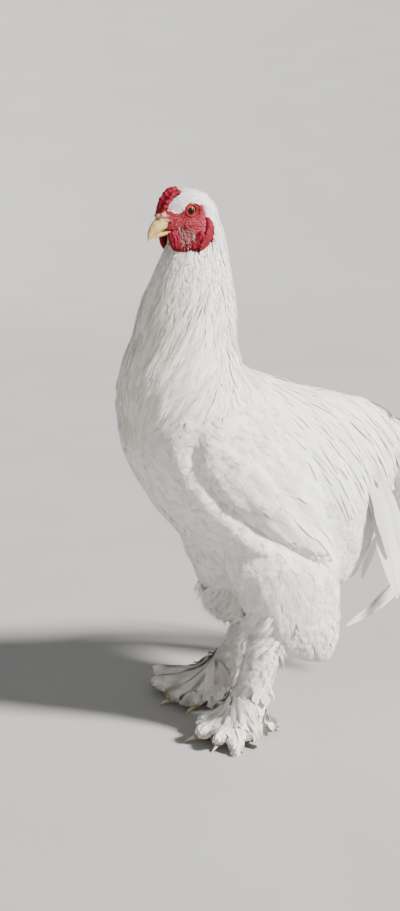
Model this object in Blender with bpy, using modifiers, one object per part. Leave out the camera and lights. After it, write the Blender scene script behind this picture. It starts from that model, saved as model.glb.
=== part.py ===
"""A white, feather-legged rooster with a pea comb, standing at rest, life size.

Metres, +Z up. The bird faces -X, and its left side is towards -Y. The shapes below are written from
the point on the floor midway between the two feet, and CENTRE_FROM_FEET then moves all of them so
that the origin is on the floor under the middle of the bird's box.
"""

import math

import bmesh
import bpy
import numpy as np
from mathutils import Matrix, Vector
from mathutils.bvhtree import BVHTree

GAP = 0.0004  # clearance left between neighbouring solids
CENTRE_FROM_FEET = Vector((0.1238, 0.0182, 0.0))

# Trunk: slices from breast to rump as (x, top of back, keel or fluff, half width)
TRUNK_SLICES = (
    (-0.124, 0.447, 0.418, 0.012),
    (-0.114, 0.478, 0.370, 0.050),
    (-0.092, 0.495, 0.326, 0.076),
    (-0.060, 0.500, 0.282, 0.091),
    (-0.010, 0.495, 0.232, 0.096),
    (0.040, 0.478, 0.203, 0.094),
    (0.090, 0.457, 0.188, 0.087),
    (0.140, 0.444, 0.172, 0.076),
    (0.178, 0.435, 0.164, 0.062),
    (0.208, 0.426, 0.180, 0.047),
    (0.235, 0.413, 0.230, 0.034),
    (0.258, 0.397, 0.290, 0.022),
    (0.268, 0.380, 0.330, 0.009),
)
# Neck with its cape of hackle: slices from the breast up as (z, middle x, middle y, half depth, half width)
NECK_SLICES = (
    (0.395, -0.038, 0.000, 0.081, 0.088),
    (0.440, -0.043, 0.000, 0.084, 0.089),
    (0.480, -0.048, 0.000, 0.075, 0.079),
    (0.520, -0.0445, -0.001, 0.0645, 0.063),
    (0.560, -0.0385, -0.001, 0.0590, 0.053),
    (0.600, -0.0335, -0.002, 0.0480, 0.042),
    (0.635, -0.0285, -0.003, 0.0370, 0.032),
    (0.658, -0.0275, -0.004, 0.0290, 0.026),
    (0.670, -0.0275, -0.004, 0.0140, 0.014),
)
# Planes along which the one skin of head, neck and trunk is parted: a point on each, and its normal
CAPE_SEAM = (Vector((-0.045, 0.0, 0.452)), Vector((-0.376, 0.0, 0.926)))
HEAD_SEAM = (Vector((-0.030, 0.0, 0.640)), Vector((-0.200, 0.0, 0.980)))

# Feathered thigh, one side: (z, middle x, half depth, half width, middle |y|)
THIGH_SLICES = (
    (0.315, 0.055, 0.060, 0.030, 0.050),
    (0.270, 0.058, 0.078, 0.042, 0.053),
    (0.220, 0.070, 0.076, 0.043, 0.056),
    (0.175, 0.082, 0.069, 0.040, 0.058),
    (0.140, 0.092, 0.058, 0.034, 0.060),
    (0.115, 0.104, 0.043, 0.027, 0.062),
    (0.098, 0.114, 0.025, 0.017, 0.064),
    (0.091, 0.119, 0.010, 0.008, 0.064),
)
THIGH_ADVANCE = {-1: 0.0, 1: 0.010}  # how far each thigh is carried forward
# The egg-shaped region that is parted from the trunk as a thigh, one side
THIGH_EGG_MIDDLE = Vector((0.064, 0.090, 0.150))
THIGH_EGG_REACH = Vector((0.112, 0.078, 0.118))

# Joints of each leg: -1 is the left leg and +1 the right one
HOCK = {-1: Vector((0.050, -0.058, 0.140)), 1: Vector((0.100, 0.058, 0.124))}
ANKLE = {-1: Vector((0.014, -0.055, 0.022)), 1: Vector((0.027, 0.055, 0.022))}
FOOT_PAD = {-1: Vector((0.013, -0.055, 0.0)), 1: Vector((0.024, 0.055, 0.0))}
FOOT_TURN_DEG = {-1: -8.0, 1: 8.0}  # of the middle toe, from straight ahead towards the outside
# Shank with its feathering: (share of the way from hock to ankle, radius)
SHANK_SLICES = ((-0.10, 0.014), (0.05, 0.0205), (0.30, 0.0215), (0.60, 0.0205), (0.85, 0.0195), (1.05, 0.014))
# Toes: (name, bearing from the foot's own heading towards the outside in degrees, length, base radius)
TOES = (
    ("inner", -36.0, 0.048, 0.0068),
    ("middle", 0.0, 0.064, 0.0074),
    ("outer", 34.0, 0.050, 0.0066),
    ("hind", 172.0, 0.038, 0.0064),
)
TOE_HEIGHT = 0.0055
CLAW_LENGTH = 0.015
CLAW_DROP = 0.0056
# Feathers fanned over each foot: (bearing from straight ahead towards the outside, reach from the pad)
FOOT_FANS = {
    -1: ((-26, 0.058), (2, 0.062), (28, 0.058), (54, 0.058), (84, 0.044), (118, 0.038), (150, 0.044)),
    1: ((-22, 0.060), (6, 0.066), (34, 0.086), (60, 0.102), (86, 0.080), (118, 0.052), (150, 0.044)),
}
FAN_INNER = ((200, 0.046), (238, 0.034), (286, 0.038))  # the shorter ones on the inside, the same on both feet
FAN_VALLEY = 0.82  # reach between two feathers, as a share of theirs
FAN_OVER_TOE = 0.0165  # height of the rim where a toe runs out under it
FAN_TOE_DEG = 24.0  # how near to a toe's bearing the rim is raised
# The fan from the shank out to its rim and back underneath: (height, share of the reach, added radius)
FAN_PROFILE = (
    (0.062, 0.0, 0.0250),
    (0.040, 0.07, 0.0270),
    (0.024, 0.52, 0.0100),
    (0.0045, 0.985, 0.0),
    (0.0, 0.975, 0.0),
    (0.0, 0.900, 0.0),
    (0.0180, 0.50, 0.0070),
    (0.034, 0.07, 0.0225),
    (0.060, 0.0, 0.0225),
)

# Folded wing: its axis runs in the side view from the wing butt to the tip of the flights
WING_BUTT = Vector((-0.062, 0.425))
WING_TIP = Vector((0.130, 0.236))
# (distance along the axis, reach of the lower edge, reach of the upper edge)
WING_SLICES = (
    (0.000, 0.006, 0.006),
    (0.018, 0.026, 0.042),
    (0.050, 0.037, 0.080),
    (0.085, 0.041, 0.092),
    (0.130, 0.039, 0.080),
    (0.170, 0.034, 0.060),
    (0.210, 0.026, 0.036),
    (0.245, 0.015, 0.015),
    (0.269, 0.004, 0.004),
)
WING_PROUD = 0.010  # how far it stands out from the flank
WING_SUNK = 0.006

# Tail: spine of the hanging mass as (x, z, half depth across the spine, half width)
TAIL_SPINE = (
    (0.212, 0.378, 0.026, 0.017),
    (0.252, 0.360, 0.036, 0.022),
    (0.287, 0.327, 0.040, 0.023),
    (0.310, 0.278, 0.038, 0.022),
    (0.318, 0.226, 0.033, 0.019),
    (0.311, 0.178, 0.023, 0.014),
    (0.298, 0.145, 0.010, 0.007),
)
# Long curved feathers: side, half width, and (x, |y|, z) down the quill
SICKLES = {
    "sickle_right": (1, 0.018, ((0.250, 0.016, 0.388), (0.302, 0.026, 0.370), (0.340, 0.033, 0.322),
                                (0.355, 0.037, 0.254), (0.341, 0.037, 0.182), (0.298, 0.033, 0.126),
                                (0.248, 0.029, 0.095), (0.212, 0.026, 0.079))),
    "sickle_left": (-1, 0.017, ((0.250, 0.016, 0.388), (0.303, 0.027, 0.366), (0.342, 0.035, 0.314),
                                (0.357, 0.039, 0.248), (0.347, 0.039, 0.186), (0.321, 0.036, 0.141),
                                (0.295, 0.032, 0.119))),
    "covert_right": (1, 0.015, ((0.222, 0.040, 0.350), (0.254, 0.045, 0.300), (0.270, 0.048, 0.240),
                                (0.268, 0.047, 0.180), (0.254, 0.043, 0.140))),
    "covert_left": (-1, 0.016, ((0.195, 0.056, 0.335), (0.212, 0.062, 0.282), (0.227, 0.062, 0.227),
                                (0.240, 0.058, 0.182), (0.249, 0.054, 0.148))),
}
SICKLE_HALF_THICKNESS = 0.0018

# Head, in its own axes in millimetres: forward, towards the left, up, from midway between the eyes
MM = 0.001
HEAD_AT = Vector((-0.046, -0.004, 0.675))
HEAD_TURN_DEG = 8.0  # towards the bird's left
HEAD_NOD_DEG = 20.0
# (forward, top, bottom, half width)
SKULL_SLICES = (
    (-41, -10, -24, 6),
    (-37, 2.5, -30, 13),
    (-30, 12, -33, 17.5),
    (-22, 18.5, -34, 20),
    (-12, 22.5, -34, 20.5),
    (0, 24, -32, 19),
    (12, 21, -29, 16),
    (23, 14.5, -25, 12.4),
    (32, 7.5, -19, 9.2),
    (37, 3, -14, 5.5),
)
UPPER_BILL_SLICES = (
    (20, 5, -11, 6),
    (27, 6, -12.4, 9.0),
    (34, 5.6, -12.6, 8.8),
    (41, 3.6, -12.4, 7.2),
    (48, 0.2, -12.6, 5.2),
    (54, -5.2, -13.6, 3.1),
    (57, -10.5, -16.2, 1.5),
    (57.6, -14.2, -17.2, 0.7),
)
LOWER_BILL_SLICES = (
    (20, -14.5, -20, 5),
    (28, -13.3, -20.5, 8),
    (36, -13.3, -20, 6.8),
    (44, -13.4, -18.4, 4.8),
    (51, -14.4, -16.8, 2.4),
    (54, -15.2, -16.4, 1.0),
)
EYE_RADIUS = 7.2
EYE_OUT = 13.2  # centre of the eyeball from the middle plane
# Crest line of the comb's middle ridge: (forward, up, knob radius)
COMB_RIDGE = (
    (36.5, 5.5, 3.4), (32, 11, 4.2), (27.5, 16, 4.8), (22, 21.5, 5.0), (15.5, 25.5, 5.0), (9, 27, 4.6), (2.5, 26.5, 4.0)
)
COMB_SIDE_OUT = 6.2  # the two side ridges from the middle one
COMB_SIDE_SINK = 4.0
COMB_SIDE_SCALE = 0.82
# Flaps of bare skin: (forward, up, half width) down the flap, and how far their middle stands off the face
WATTLE_LINE = ((25, -15, 3.6), (26.5, -21, 4.8), (28, -29, 5.6), (29.5, -37, 5.0), (30.5, -42, 2.0))
WATTLE_OUT = (8.6, 10.4, 11.4, 11.6, 11.4)
LOBE_LINE = ((-16, -15, 3.2), (-13, -23, 5.6), (-6, -32, 6.4), (4, -39, 5.6), (13, -43.5, 2.4))
LOBE_PROUD = 0.5
FLAP_HALF_THICKNESS = 1.7

MATERIALS = {
    "plumage": ((0.86, 0.85, 0.81), 0.75),
    "red_skin": ((0.62, 0.05, 0.06), 0.55),
    "horn": ((0.80, 0.66, 0.36), 0.40),
    "eye": ((0.55, 0.16, 0.04), 0.12),
    "toe_scale": ((0.72, 0.56, 0.26), 0.55),
}


# ---------------------------------------------------------------- helpers

def clear_scene():
    for obj in list(bpy.data.objects):
        bpy.data.objects.remove(obj)


def material(name):
    found = bpy.data.materials.get(name)
    if found:
        return found
    colour, roughness = MATERIALS[name]
    made = bpy.data.materials.new(name)
    made.use_nodes = True
    shader = made.node_tree.nodes["Principled BSDF"]
    shader.inputs["Base Color"].default_value = (*colour, 1.0)
    shader.inputs["Roughness"].default_value = roughness
    shader.inputs["Metallic"].default_value = 0.0
    return made


def collection(name):
    made = bpy.data.collections.new(name)
    bpy.context.scene.collection.children.link(made)
    return made


def link(name, mesh, finish, smooth=True):
    mesh.materials.clear()
    mesh.materials.append(material(finish))
    if smooth:
        mesh.shade_smooth()
    obj = bpy.data.objects.new(name, mesh)
    ROOSTER.objects.link(obj)
    return obj


def eased(rows, count):
    """`count` rows along a smooth curve through the given rows, spaced evenly by row number."""
    keys = np.array(rows, float)
    slopes = np.gradient(keys, axis=0)
    at = np.linspace(0, len(keys) - 1, count)
    low = np.minimum(at.astype(int), len(keys) - 2)
    t = (at - low)[:, None]
    return (
        keys[low] * (2 * t**3 - 3 * t**2 + 1)
        + slopes[low] * (t**3 - 2 * t**2 + t)
        + keys[low + 1] * (3 * t**2 - 2 * t**3)
        + slopes[low + 1] * (t**3 - t**2)
    )


def oval(middle, across, up, half_across, half_up, count, power=2.0):
    """Points round a superellipse whose two half axes lie along `across` and `up`."""
    points = []
    for k in range(count):
        turn = 2 * math.pi * k / count
        c, s = math.cos(turn), math.sin(turn)
        a = math.copysign(abs(c) ** (2 / power), c) * half_across
        b = math.copysign(abs(s) ** (2 / power), s) * half_up
        points.append(middle + across * a + up * b)
    return points


def loft_mesh(name, rings, closed=False):
    """A skin through rings of equally many points, capped at its ends or led back to its first ring."""
    bm = bmesh.new()
    loops = [[bm.verts.new(p) for p in ring] for ring in rings]
    for one, two in zip(loops, loops[1:] + loops[:1] if closed else loops[1:]):
        for k in range(len(one)):
            after = (k + 1) % len(one)
            bm.faces.new((one[k], one[after], two[after], two[k]))
    if not closed:
        bm.faces.new(loops[0][::-1])
        bm.faces.new(loops[-1])
    return finished(name, bm)


def finished(name, bm):
    """The mesh, in triangles that all face outwards."""
    bmesh.ops.triangulate(bm, faces=bm.faces)
    bmesh.ops.recalc_face_normals(bm, faces=bm.faces)
    mesh = bpy.data.meshes.new(name)
    bm.to_mesh(mesh)
    bm.free()
    return mesh


def bake(obj):
    """Replaces the object's mesh by what its modifiers make of it."""
    graph = bpy.context.evaluated_depsgraph_get()
    made = bpy.data.meshes.new_from_object(obj.evaluated_get(graph))
    obj.modifiers.clear()
    obj.data = made
    return obj


def grown(obj):
    """A cutter: the object as it was before anything was cut from it, GAP larger all round."""
    mesh = UNCUT.get(obj.name, obj.data).copy()
    normals = [v.normal.copy() for v in mesh.vertices]
    for vertex, normal in zip(mesh.vertices, normals):
        vertex.co += normal * GAP
    cutter = bpy.data.objects.new("cutter", mesh)
    CUTTERS.objects.link(cutter)
    return cutter


def combine(obj, other, operation):
    modifier = obj.modifiers.new(operation.lower(), "BOOLEAN")
    modifier.object = other
    modifier.operation = operation
    modifier.solver = "EXACT"
    bake(obj)


def carve(obj, *others):
    """Cuts the others out of the object, with a gap."""
    UNCUT.setdefault(obj.name, obj.data.copy())
    for other in others:
        cutter = grown(other)
        combine(obj, cutter, "DIFFERENCE")
        bpy.data.objects.remove(cutter)


def fuse(name, pieces, finish, voxel, ease, triangles):
    """One smooth closed skin round closed pieces that overlap, with about that many triangles."""
    bm = bmesh.new()
    for piece in pieces:
        bm.from_mesh(piece)
    mesh = bpy.data.meshes.new(name)
    bm.to_mesh(mesh)
    bm.free()
    obj = link(name, mesh, finish)
    skin = obj.modifiers.new("skin", "REMESH")
    skin.mode = "VOXEL"
    skin.voxel_size = voxel
    soften = obj.modifiers.new("soften", "SMOOTH")
    soften.factor = 0.5
    soften.iterations = ease
    bake(obj)
    whole = sum(len(p.vertices) - 2 for p in obj.data.polygons)
    thin = obj.modifiers.new("thin_out", "DECIMATE")
    thin.ratio = min(1.0, triangles / whole)
    bake(obj)
    obj.data.shade_smooth()
    return obj


def side_of(obj, point, normal, name):
    """A copy of the object with everything behind a plane taken off and the cut closed."""
    bm = bmesh.new()
    bm.from_mesh(obj.data)
    everything = bm.verts[:] + bm.edges[:] + bm.faces[:]
    cut = bmesh.ops.bisect_plane(bm, geom=everything, plane_co=point, plane_no=normal, clear_inner=True)
    edges = [g for g in cut["geom_cut"] if isinstance(g, bmesh.types.BMEdge)]
    bmesh.ops.holes_fill(bm, edges=edges, sides=0)
    return link(name, finished(name, bm), obj.data.materials[0].name)


def reach_inwards(tree, point, direction):
    """The first place where a line from the point meets the surface, or None."""
    return tree.ray_cast(point, direction)[0]


def surface(*objects):
    """A tree of the objects' surfaces, for finding places on them."""
    bm = bmesh.new()
    for obj in objects:
        bm.from_mesh(obj.data)
    tree = BVHTree.FromBMesh(bm)
    bm.free()
    return tree


def mirrored(point, side):
    return Vector((point[0], side * point[1], point[2]))


def side_name(side):
    return "right" if side > 0 else "left"


# ---------------------------------------------------------------- trunk, neck and thighs

def trunk_rings():
    rings = []
    for x, top, bottom, half_width in eased(TRUNK_SLICES, 30):
        middle = Vector((x, 0, (top + bottom) / 2))
        rings.append(oval(middle, Vector((0, 1, 0)), Vector((0, 0, 1)), half_width, (top - bottom) / 2, 28, 2.15))
    return rings


def neck_rings():
    rings = []
    for z, x, y, depth, width in eased(NECK_SLICES, 20):
        rings.append(oval(Vector((x, y, z)), Vector((1, 0, 0)), Vector((0, 1, 0)), depth, width, 24))
    return rings


def thigh_rings(side):
    rings = []
    for z, x, depth, width, out in eased(THIGH_SLICES, 16):
        middle = Vector((x - THIGH_ADVANCE[side], side * out, z))
        rings.append(oval(middle, Vector((1, 0, 0)), Vector((0, 1, 0)), depth, width, 18))
    return rings


def thigh_egg(side):
    """The region, as a cutter, that belongs to one thigh."""
    bm = bmesh.new()
    bmesh.ops.create_icosphere(bm, subdivisions=2, radius=1.0)
    bmesh.ops.scale(bm, vec=THIGH_EGG_REACH, verts=bm.verts)
    bmesh.ops.translate(bm, vec=mirrored(THIGH_EGG_MIDDLE, side), verts=bm.verts)
    egg = bpy.data.objects.new("thigh_egg", finished("thigh_egg", bm))
    CUTTERS.objects.link(egg)
    return egg


def make_body():
    """Neck, trunk and thighs, modelled whole and then parted by thin cuts."""
    shapes = [loft_mesh("trunk", trunk_rings()), loft_mesh("neck", neck_rings())]
    shapes += [loft_mesh("thigh", thigh_rings(side)) for side in (-1, 1)]
    whole = fuse("whole", shapes, "plumage", 0.006, 6, 1500)
    flank = surface(whole)
    point, normal = CAPE_SEAM
    above = side_of(whole, point + normal * GAP, normal, "above")
    neck = side_of(above, HEAD_SEAM[0] - HEAD_SEAM[1] * GAP, -HEAD_SEAM[1], "neck")
    trunk = side_of(whole, point, -normal, "trunk")
    bpy.data.objects.remove(whole)
    bpy.data.objects.remove(above)
    for side in (-1, 1):
        egg = thigh_egg(side)
        thigh = trunk.copy()
        thigh.data = trunk.data.copy()
        thigh.name = "thigh_" + side_name(side)
        ROOSTER.objects.link(thigh)
        combine(thigh, egg, "INTERSECT")
        carve(trunk, egg)
        bpy.data.objects.remove(egg)
    return neck, trunk, flank


# ---------------------------------------------------------------- wings and tail

def make_wing(side, flank):
    """A folded wing: a lens that follows the flank, proud of it outside and sunk into it inside."""
    axis = (WING_TIP - WING_BUTT).normalized()
    down = Vector((axis.y, -axis.x))
    rings = []
    for along, low, high in eased(WING_SLICES, 11):
        ring = []
        for k in range(12):
            turn = 2 * math.pi * k / 12
            across = math.cos(turn)
            spot = WING_BUTT + axis * along + down * (across * low if across > 0 else across * high)
            outside = Vector((spot.x, side * 0.3, spot.y))
            skin = abs(reach_inwards(flank, outside, Vector((0, -side, 0))).y)
            bulge = math.sin(turn) * min(1.0, (low + high) / 0.06)
            out = skin + bulge * (WING_PROUD if bulge > 0 else WING_SUNK)
            ring.append(Vector((spot.x, side * out, spot.y)))
        rings.append(ring)
    name = "wing_" + side_name(side)
    return link(name, loft_mesh(name, rings), "plumage")


def make_tail_mass():
    rows = eased(TAIL_SPINE, 10)
    rings = []
    for k, (x, z, depth, width) in enumerate(rows):
        before, after = rows[max(0, k - 1)], rows[min(len(rows) - 1, k + 1)]
        along = Vector((after[0] - before[0], 0, after[1] - before[1])).normalized()
        across = Vector((along.z, 0, -along.x))
        rings.append(oval(Vector((x, 0, z)), across, Vector((0, 1, 0)), depth, width, 12))
    return link("tail", loft_mesh("tail", rings), "plumage")


def blade_rings(line, half_widths, half_thickness, flat_way, count):
    """Rings of a thin lens swept along a line. `flat_way` is roughly square to its flat side."""
    rows = eased([(*p, w) for p, w in zip(line, half_widths)], count)
    rings = []
    for k, row in enumerate(rows):
        before, after = rows[max(0, k - 1)], rows[min(len(rows) - 1, k + 1)]
        along = Vector(after[:3] - before[:3]).normalized()
        across = along.cross(flat_way).normalized()
        face = across.cross(along)
        rings.append(oval(Vector(row[:3]), across, face, row[3], half_thickness, 6))
    return rings


def make_sickle(name):
    side, half_width, line = SICKLES[name]
    points = [mirrored(p, side) for p in line]
    share = [k / (len(points) - 1) for k in range(len(points))]
    widths = [half_width * (0.35 + 0.65 * math.sin(math.pi * min(1.0, 0.18 + 0.62 * s))) for s in share]
    widths[-1] = half_width * 0.22
    rings = blade_rings(points, widths, SICKLE_HALF_THICKNESS, Vector((0, side, 0)), len(points) + 4)
    return link(name, loft_mesh(name, rings), "plumage")


# ---------------------------------------------------------------- legs and feet

def make_shank(side):
    top, foot = HOCK[side], ANKLE[side]
    along = (foot - top).normalized()
    fore = along.cross(Vector((0, 1, 0))).normalized()
    rings = [oval(top.lerp(foot, share), fore, along.cross(fore), radius, radius, 12)
             for share, radius in eased(SHANK_SLICES, 8)]
    name = "shank_" + side_name(side)
    return link(name, loft_mesh(name, rings), "plumage")


def bearing(side, degrees):
    """A level direction, turned from straight ahead towards the outside of that foot."""
    turn = math.radians(degrees)
    return Vector((-math.cos(turn), side * math.sin(turn), 0))


def toe_way(side, toe):
    return bearing(side, toe[1] + FOOT_TURN_DEG[side])


def make_foot(side):
    """Pad and four toes as one piece, flat underneath where they rest on the floor."""
    pad = FOOT_PAD[side]
    shapes = []
    for toe in TOES:
        _, _, length, radius = toe
        way = toe_way(side, toe)
        across = Vector((0, 0, 1)).cross(way)
        rings = []
        for share in np.linspace(-0.08, 1.0, 9):
            knuckle = 1 + 0.10 * math.cos(share * 6 * math.pi)
            r = radius * (1 - 0.30 * max(0.0, share)) * knuckle
            r *= 0.6 if share == 1.0 else 1.0
            rise = 0.004 * (1 - max(0.0, share)) ** 2
            middle = pad + way * (length * share) + Vector((0, 0, TOE_HEIGHT + rise))
            rings.append(oval(middle, across, Vector((0, 0, 1)), r, r, 10))
        shapes.append(loft_mesh("toe", rings))
    stump = [oval(pad + Vector((0.003, 0, z)), Vector((1, 0, 0)), Vector((0, 1, 0)), r, r, 12)
             for z, r in ((0.002, 0.009), (0.010, 0.0125), (0.020, 0.0115), (0.027, 0.009))]
    shapes.append(loft_mesh("stump", stump))
    name = "foot_" + side_name(side)
    whole = fuse(name + "_whole", shapes, "toe_scale", 0.0016, 2, 240)
    foot = side_of(whole, Vector((0, 0, 0)), Vector((0, 0, 1)), name)
    bpy.data.objects.remove(whole)
    return foot


def make_claw(side, toe):
    """A curved horn cone at the end of a toe."""
    name, _, length, radius = toe
    way = toe_way(side, toe)
    base = FOOT_PAD[side] + way * (length + GAP) + Vector((0, 0, TOE_HEIGHT))
    across = Vector((0, 0, 1)).cross(way)
    rings = []
    for k in range(4):
        share = k / 3
        r = radius * 0.46 * (1 - share) + 0.0005
        middle = base + way * (CLAW_LENGTH * share) - Vector((0, 0, CLAW_DROP * share**2))
        ring = oval(middle, across, Vector((0, 0, 1)), r, r, 6)
        rings.append([Vector((p.x, p.y, max(0.0, p.z))) for p in ring])
    full = f"claw_{name}_{side_name(side)}"
    return link(full, loft_mesh(full, rings), "horn")


def fan_outline(side):
    """(bearing, reach, rim height) all round the foot, with a tip for each feather and valleys between."""
    tips = FOOT_FANS[side] + FAN_INNER
    toes = [toe[1] + FOOT_TURN_DEG[side] for toe in TOES]
    outline = []
    for (one, reach), (two, after) in zip(tips, tips[1:] + ((tips[0][0] + 360, tips[0][1]),)):
        for degrees, out in ((one, reach), ((one + two) / 2, (reach + after) / 2 * FAN_VALLEY)):
            over_toe = any(abs((degrees - toe + 180) % 360 - 180) < FAN_TOE_DEG for toe in toes)
            outline.append((degrees, out, FAN_OVER_TOE if over_toe else 0.0))
    return outline


def make_foot_feathers(side):
    """The stiff feathers of shank and toes: an open skirt that fans out over the foot down to the floor."""
    outline = fan_outline(side)
    lean = HOCK[side] - ANKLE[side]
    stretch = Vector((lean.length / lean.z, 1, 0))  # of a level cut through the leaning shank
    rings = []
    for height, share, added in FAN_PROFILE:
        if height > ANKLE[side].z:
            rise = (height - ANKLE[side].z) / (HOCK[side].z - ANKLE[side].z)
            middle = ANKLE[side].lerp(HOCK[side], rise)
        else:
            middle = FOOT_PAD[side].lerp(ANKLE[side], height / ANKLE[side].z)
        ring = []
        for degrees, reach, rim in outline:
            way = bearing(side, degrees)
            spot = middle + way * (reach * share) + way * stretch * added
            ring.append(Vector((spot.x, spot.y, height + rim * share**2)))
        rings.append(ring)
    name = "foot_feathers_" + side_name(side)
    return link(name, loft_mesh(name, rings, closed=True), "plumage")


def make_leg(side, trunk):
    shank, foot = make_shank(side), make_foot(side)
    make_foot_feathers(side)
    for toe in TOES:
        make_claw(side, toe)
    thigh = bpy.data.objects["thigh_" + side_name(side)]
    carve(shank, thigh, trunk)
    carve(foot, shank)


# ---------------------------------------------------------------- head

def head_axes():
    turn = Matrix.Rotation(math.radians(HEAD_TURN_DEG), 4, "Z")
    nod = Matrix.Rotation(math.radians(-HEAD_NOD_DEG), 4, "Y")
    own = Matrix(((-MM, 0, 0, 0), (0, -MM, 0, 0), (0, 0, MM, 0), (0, 0, 0, 1)))
    return Matrix.Translation(HEAD_AT) @ turn @ nod @ own


def in_head(ring):
    axes = head_axes()
    return [axes @ p for p in ring]


def head_slices(slices, count, sides, power=2.0):
    rings = []
    for forward, top, bottom, half_width in eased(slices, count):
        middle = Vector((forward, 0, (top + bottom) / 2))
        ring = oval(middle, Vector((0, 1, 0)), Vector((0, 0, 1)), half_width, (top - bottom) / 2, sides, power)
        rings.append(in_head(ring))
    return rings


def make_skull():
    """Skull and the top of the neck as one shape, down to the seam."""
    shapes = [loft_mesh("skull", head_slices(SKULL_SLICES, 18, 20, 2.1)), loft_mesh("throat", neck_rings())]
    whole = fuse("head_whole", shapes, "plumage", 0.003, 4, 480)
    head = side_of(whole, HEAD_SEAM[0], HEAD_SEAM[1], "head")
    bpy.data.objects.remove(whole)
    return head


def make_bill(name, slices):
    return link(name, loft_mesh(name, head_slices(slices, 9, 10)), "horn")


def make_eye(side):
    name = "eye_" + side_name(side)
    bm = bmesh.new()
    bmesh.ops.create_uvsphere(bm, u_segments=12, v_segments=6, radius=EYE_RADIUS)
    axes = head_axes() @ Matrix.Translation((0, -side * EYE_OUT, 0))
    bmesh.ops.transform(bm, matrix=axes, verts=bm.verts)
    return link(name, finished(name, bm), "eye")


def make_comb():
    """A pea comb: three low ridges of knobs grown together, the middle one the highest."""
    shapes = []
    for place in (-1, 0, 1):
        scale = COMB_SIDE_SCALE if place else 1.0
        for forward, up, radius in eased(COMB_RIDGE, 9):
            out = place * COMB_SIDE_OUT * min(1.0, 1.35 - forward / 60)
            bm = bmesh.new()
            bmesh.ops.create_icosphere(bm, subdivisions=2, radius=radius * scale)
            spot = Matrix.Translation((forward, out, up - COMB_SIDE_SINK * abs(place)))
            bmesh.ops.transform(bm, matrix=head_axes() @ spot, verts=bm.verts)
            shapes.append(finished("knob", bm))
    return fuse("comb", shapes, "red_skin", 0.0009, 1, 360)


def make_flap(name, side, line, outs):
    """A thin lobe of skin down a line, with its flat side outwards."""
    axes = head_axes()
    points = [axes @ Vector((forward, -side * out, up)) for (forward, up, _), out in zip(line, outs)]
    outward = (axes.to_3x3() @ Vector((0, -side, 0))).normalized()
    rings = blade_rings(points, [row[2] * MM for row in line], FLAP_HALF_THICKNESS * MM, outward, 8)
    return link(name, loft_mesh(name, rings), "red_skin")


def face_width(tree, side, forward, up):
    """How far the surface is from the head's middle plane there, in millimetres."""
    axes = head_axes()
    outside = axes @ Vector((forward, -side * 80, up))
    inwards = (axes.to_3x3() @ Vector((0, side, 0))).normalized()
    return (reach_inwards(tree, outside, inwards) - outside).length / MM


def make_head(neck):
    head = make_skull()
    face = surface(head, neck)
    upper, lower = make_bill("bill_upper", UPPER_BILL_SLICES), make_bill("bill_lower", LOWER_BILL_SLICES)
    comb = make_comb()
    eyes = [make_eye(side) for side in (-1, 1)]
    carve(lower, upper)
    carve(head, upper, lower, *eyes)
    carve(comb, head, upper)
    for side in (-1, 1):
        wattle = make_flap("wattle_" + side_name(side), side, WATTLE_LINE, WATTLE_OUT)
        outs = [80 - face_width(face, side, forward, up) + LOBE_PROUD for forward, up, _ in LOBE_LINE]
        lobe = make_flap("earlobe_" + side_name(side), side, LOBE_LINE, outs)
        carve(wattle, lower, upper)
        carve(head, wattle, lobe)
        carve(neck, wattle, lobe)


# ---------------------------------------------------------------- assembly

def make_rooster():
    neck, trunk, flank = make_body()
    tail = make_tail_mass()
    wings = [make_wing(side, flank) for side in (-1, 1)]
    carve(trunk, *wings)
    for side in (-1, 1):
        carve(bpy.data.objects["thigh_" + side_name(side)], *wings)
    carve(tail, trunk)
    for name in SICKLES:
        carve(make_sickle(name), tail, trunk, *wings)
    for side in (-1, 1):
        make_leg(side, trunk)
    make_head(neck)
    for obj in ROOSTER.objects:
        obj.data.transform(Matrix.Translation(-CENTRE_FROM_FEET))


clear_scene()
ROOSTER = collection("rooster")
CUTTERS = collection("cutters")
UNCUT = {}
make_rooster()
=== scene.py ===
"""Looks of the white, feather-legged cockerel: one skin under a coat of separate feathers."""
import math

import bmesh
import bpy
import numpy as np
from mathutils import Matrix, Vector
from mathutils.bvhtree import BVHTree


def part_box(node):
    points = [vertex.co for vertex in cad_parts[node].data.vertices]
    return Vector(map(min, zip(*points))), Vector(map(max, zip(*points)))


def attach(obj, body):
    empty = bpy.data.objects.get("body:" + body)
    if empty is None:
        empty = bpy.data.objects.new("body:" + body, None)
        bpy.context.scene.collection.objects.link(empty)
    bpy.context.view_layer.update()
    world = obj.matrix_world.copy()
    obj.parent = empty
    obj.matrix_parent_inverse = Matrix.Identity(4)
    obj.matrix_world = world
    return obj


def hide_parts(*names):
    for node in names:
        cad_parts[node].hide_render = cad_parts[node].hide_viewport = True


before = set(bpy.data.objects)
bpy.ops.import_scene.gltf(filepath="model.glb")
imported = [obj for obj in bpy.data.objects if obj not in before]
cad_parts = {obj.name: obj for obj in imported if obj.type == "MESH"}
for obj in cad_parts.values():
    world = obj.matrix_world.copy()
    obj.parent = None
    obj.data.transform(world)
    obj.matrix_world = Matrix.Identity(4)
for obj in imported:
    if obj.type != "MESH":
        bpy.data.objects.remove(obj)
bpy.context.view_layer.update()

MM = 0.001
TURN = 2.0 * math.pi
RNG = np.random.default_rng(20)
SIDES = {"left": -1.0, "right": 1.0}
UP = np.array((0.0, 0.0, 1.0))
AROUND = [(i, j, k) for i in (-1, 0, 1) for j in (-1, 0, 1) for k in (-1, 0, 1)]

# ---------------------------------------------------------------- small numeric helpers

CELL_PRIMES = (73856093, 19349663, 83492791)
SEED_PRIME = 2654435761
MIX_STEPS = ((15, 2246822519), (13, 3266489917))
WORD = 0xFFFFFFFF


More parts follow.
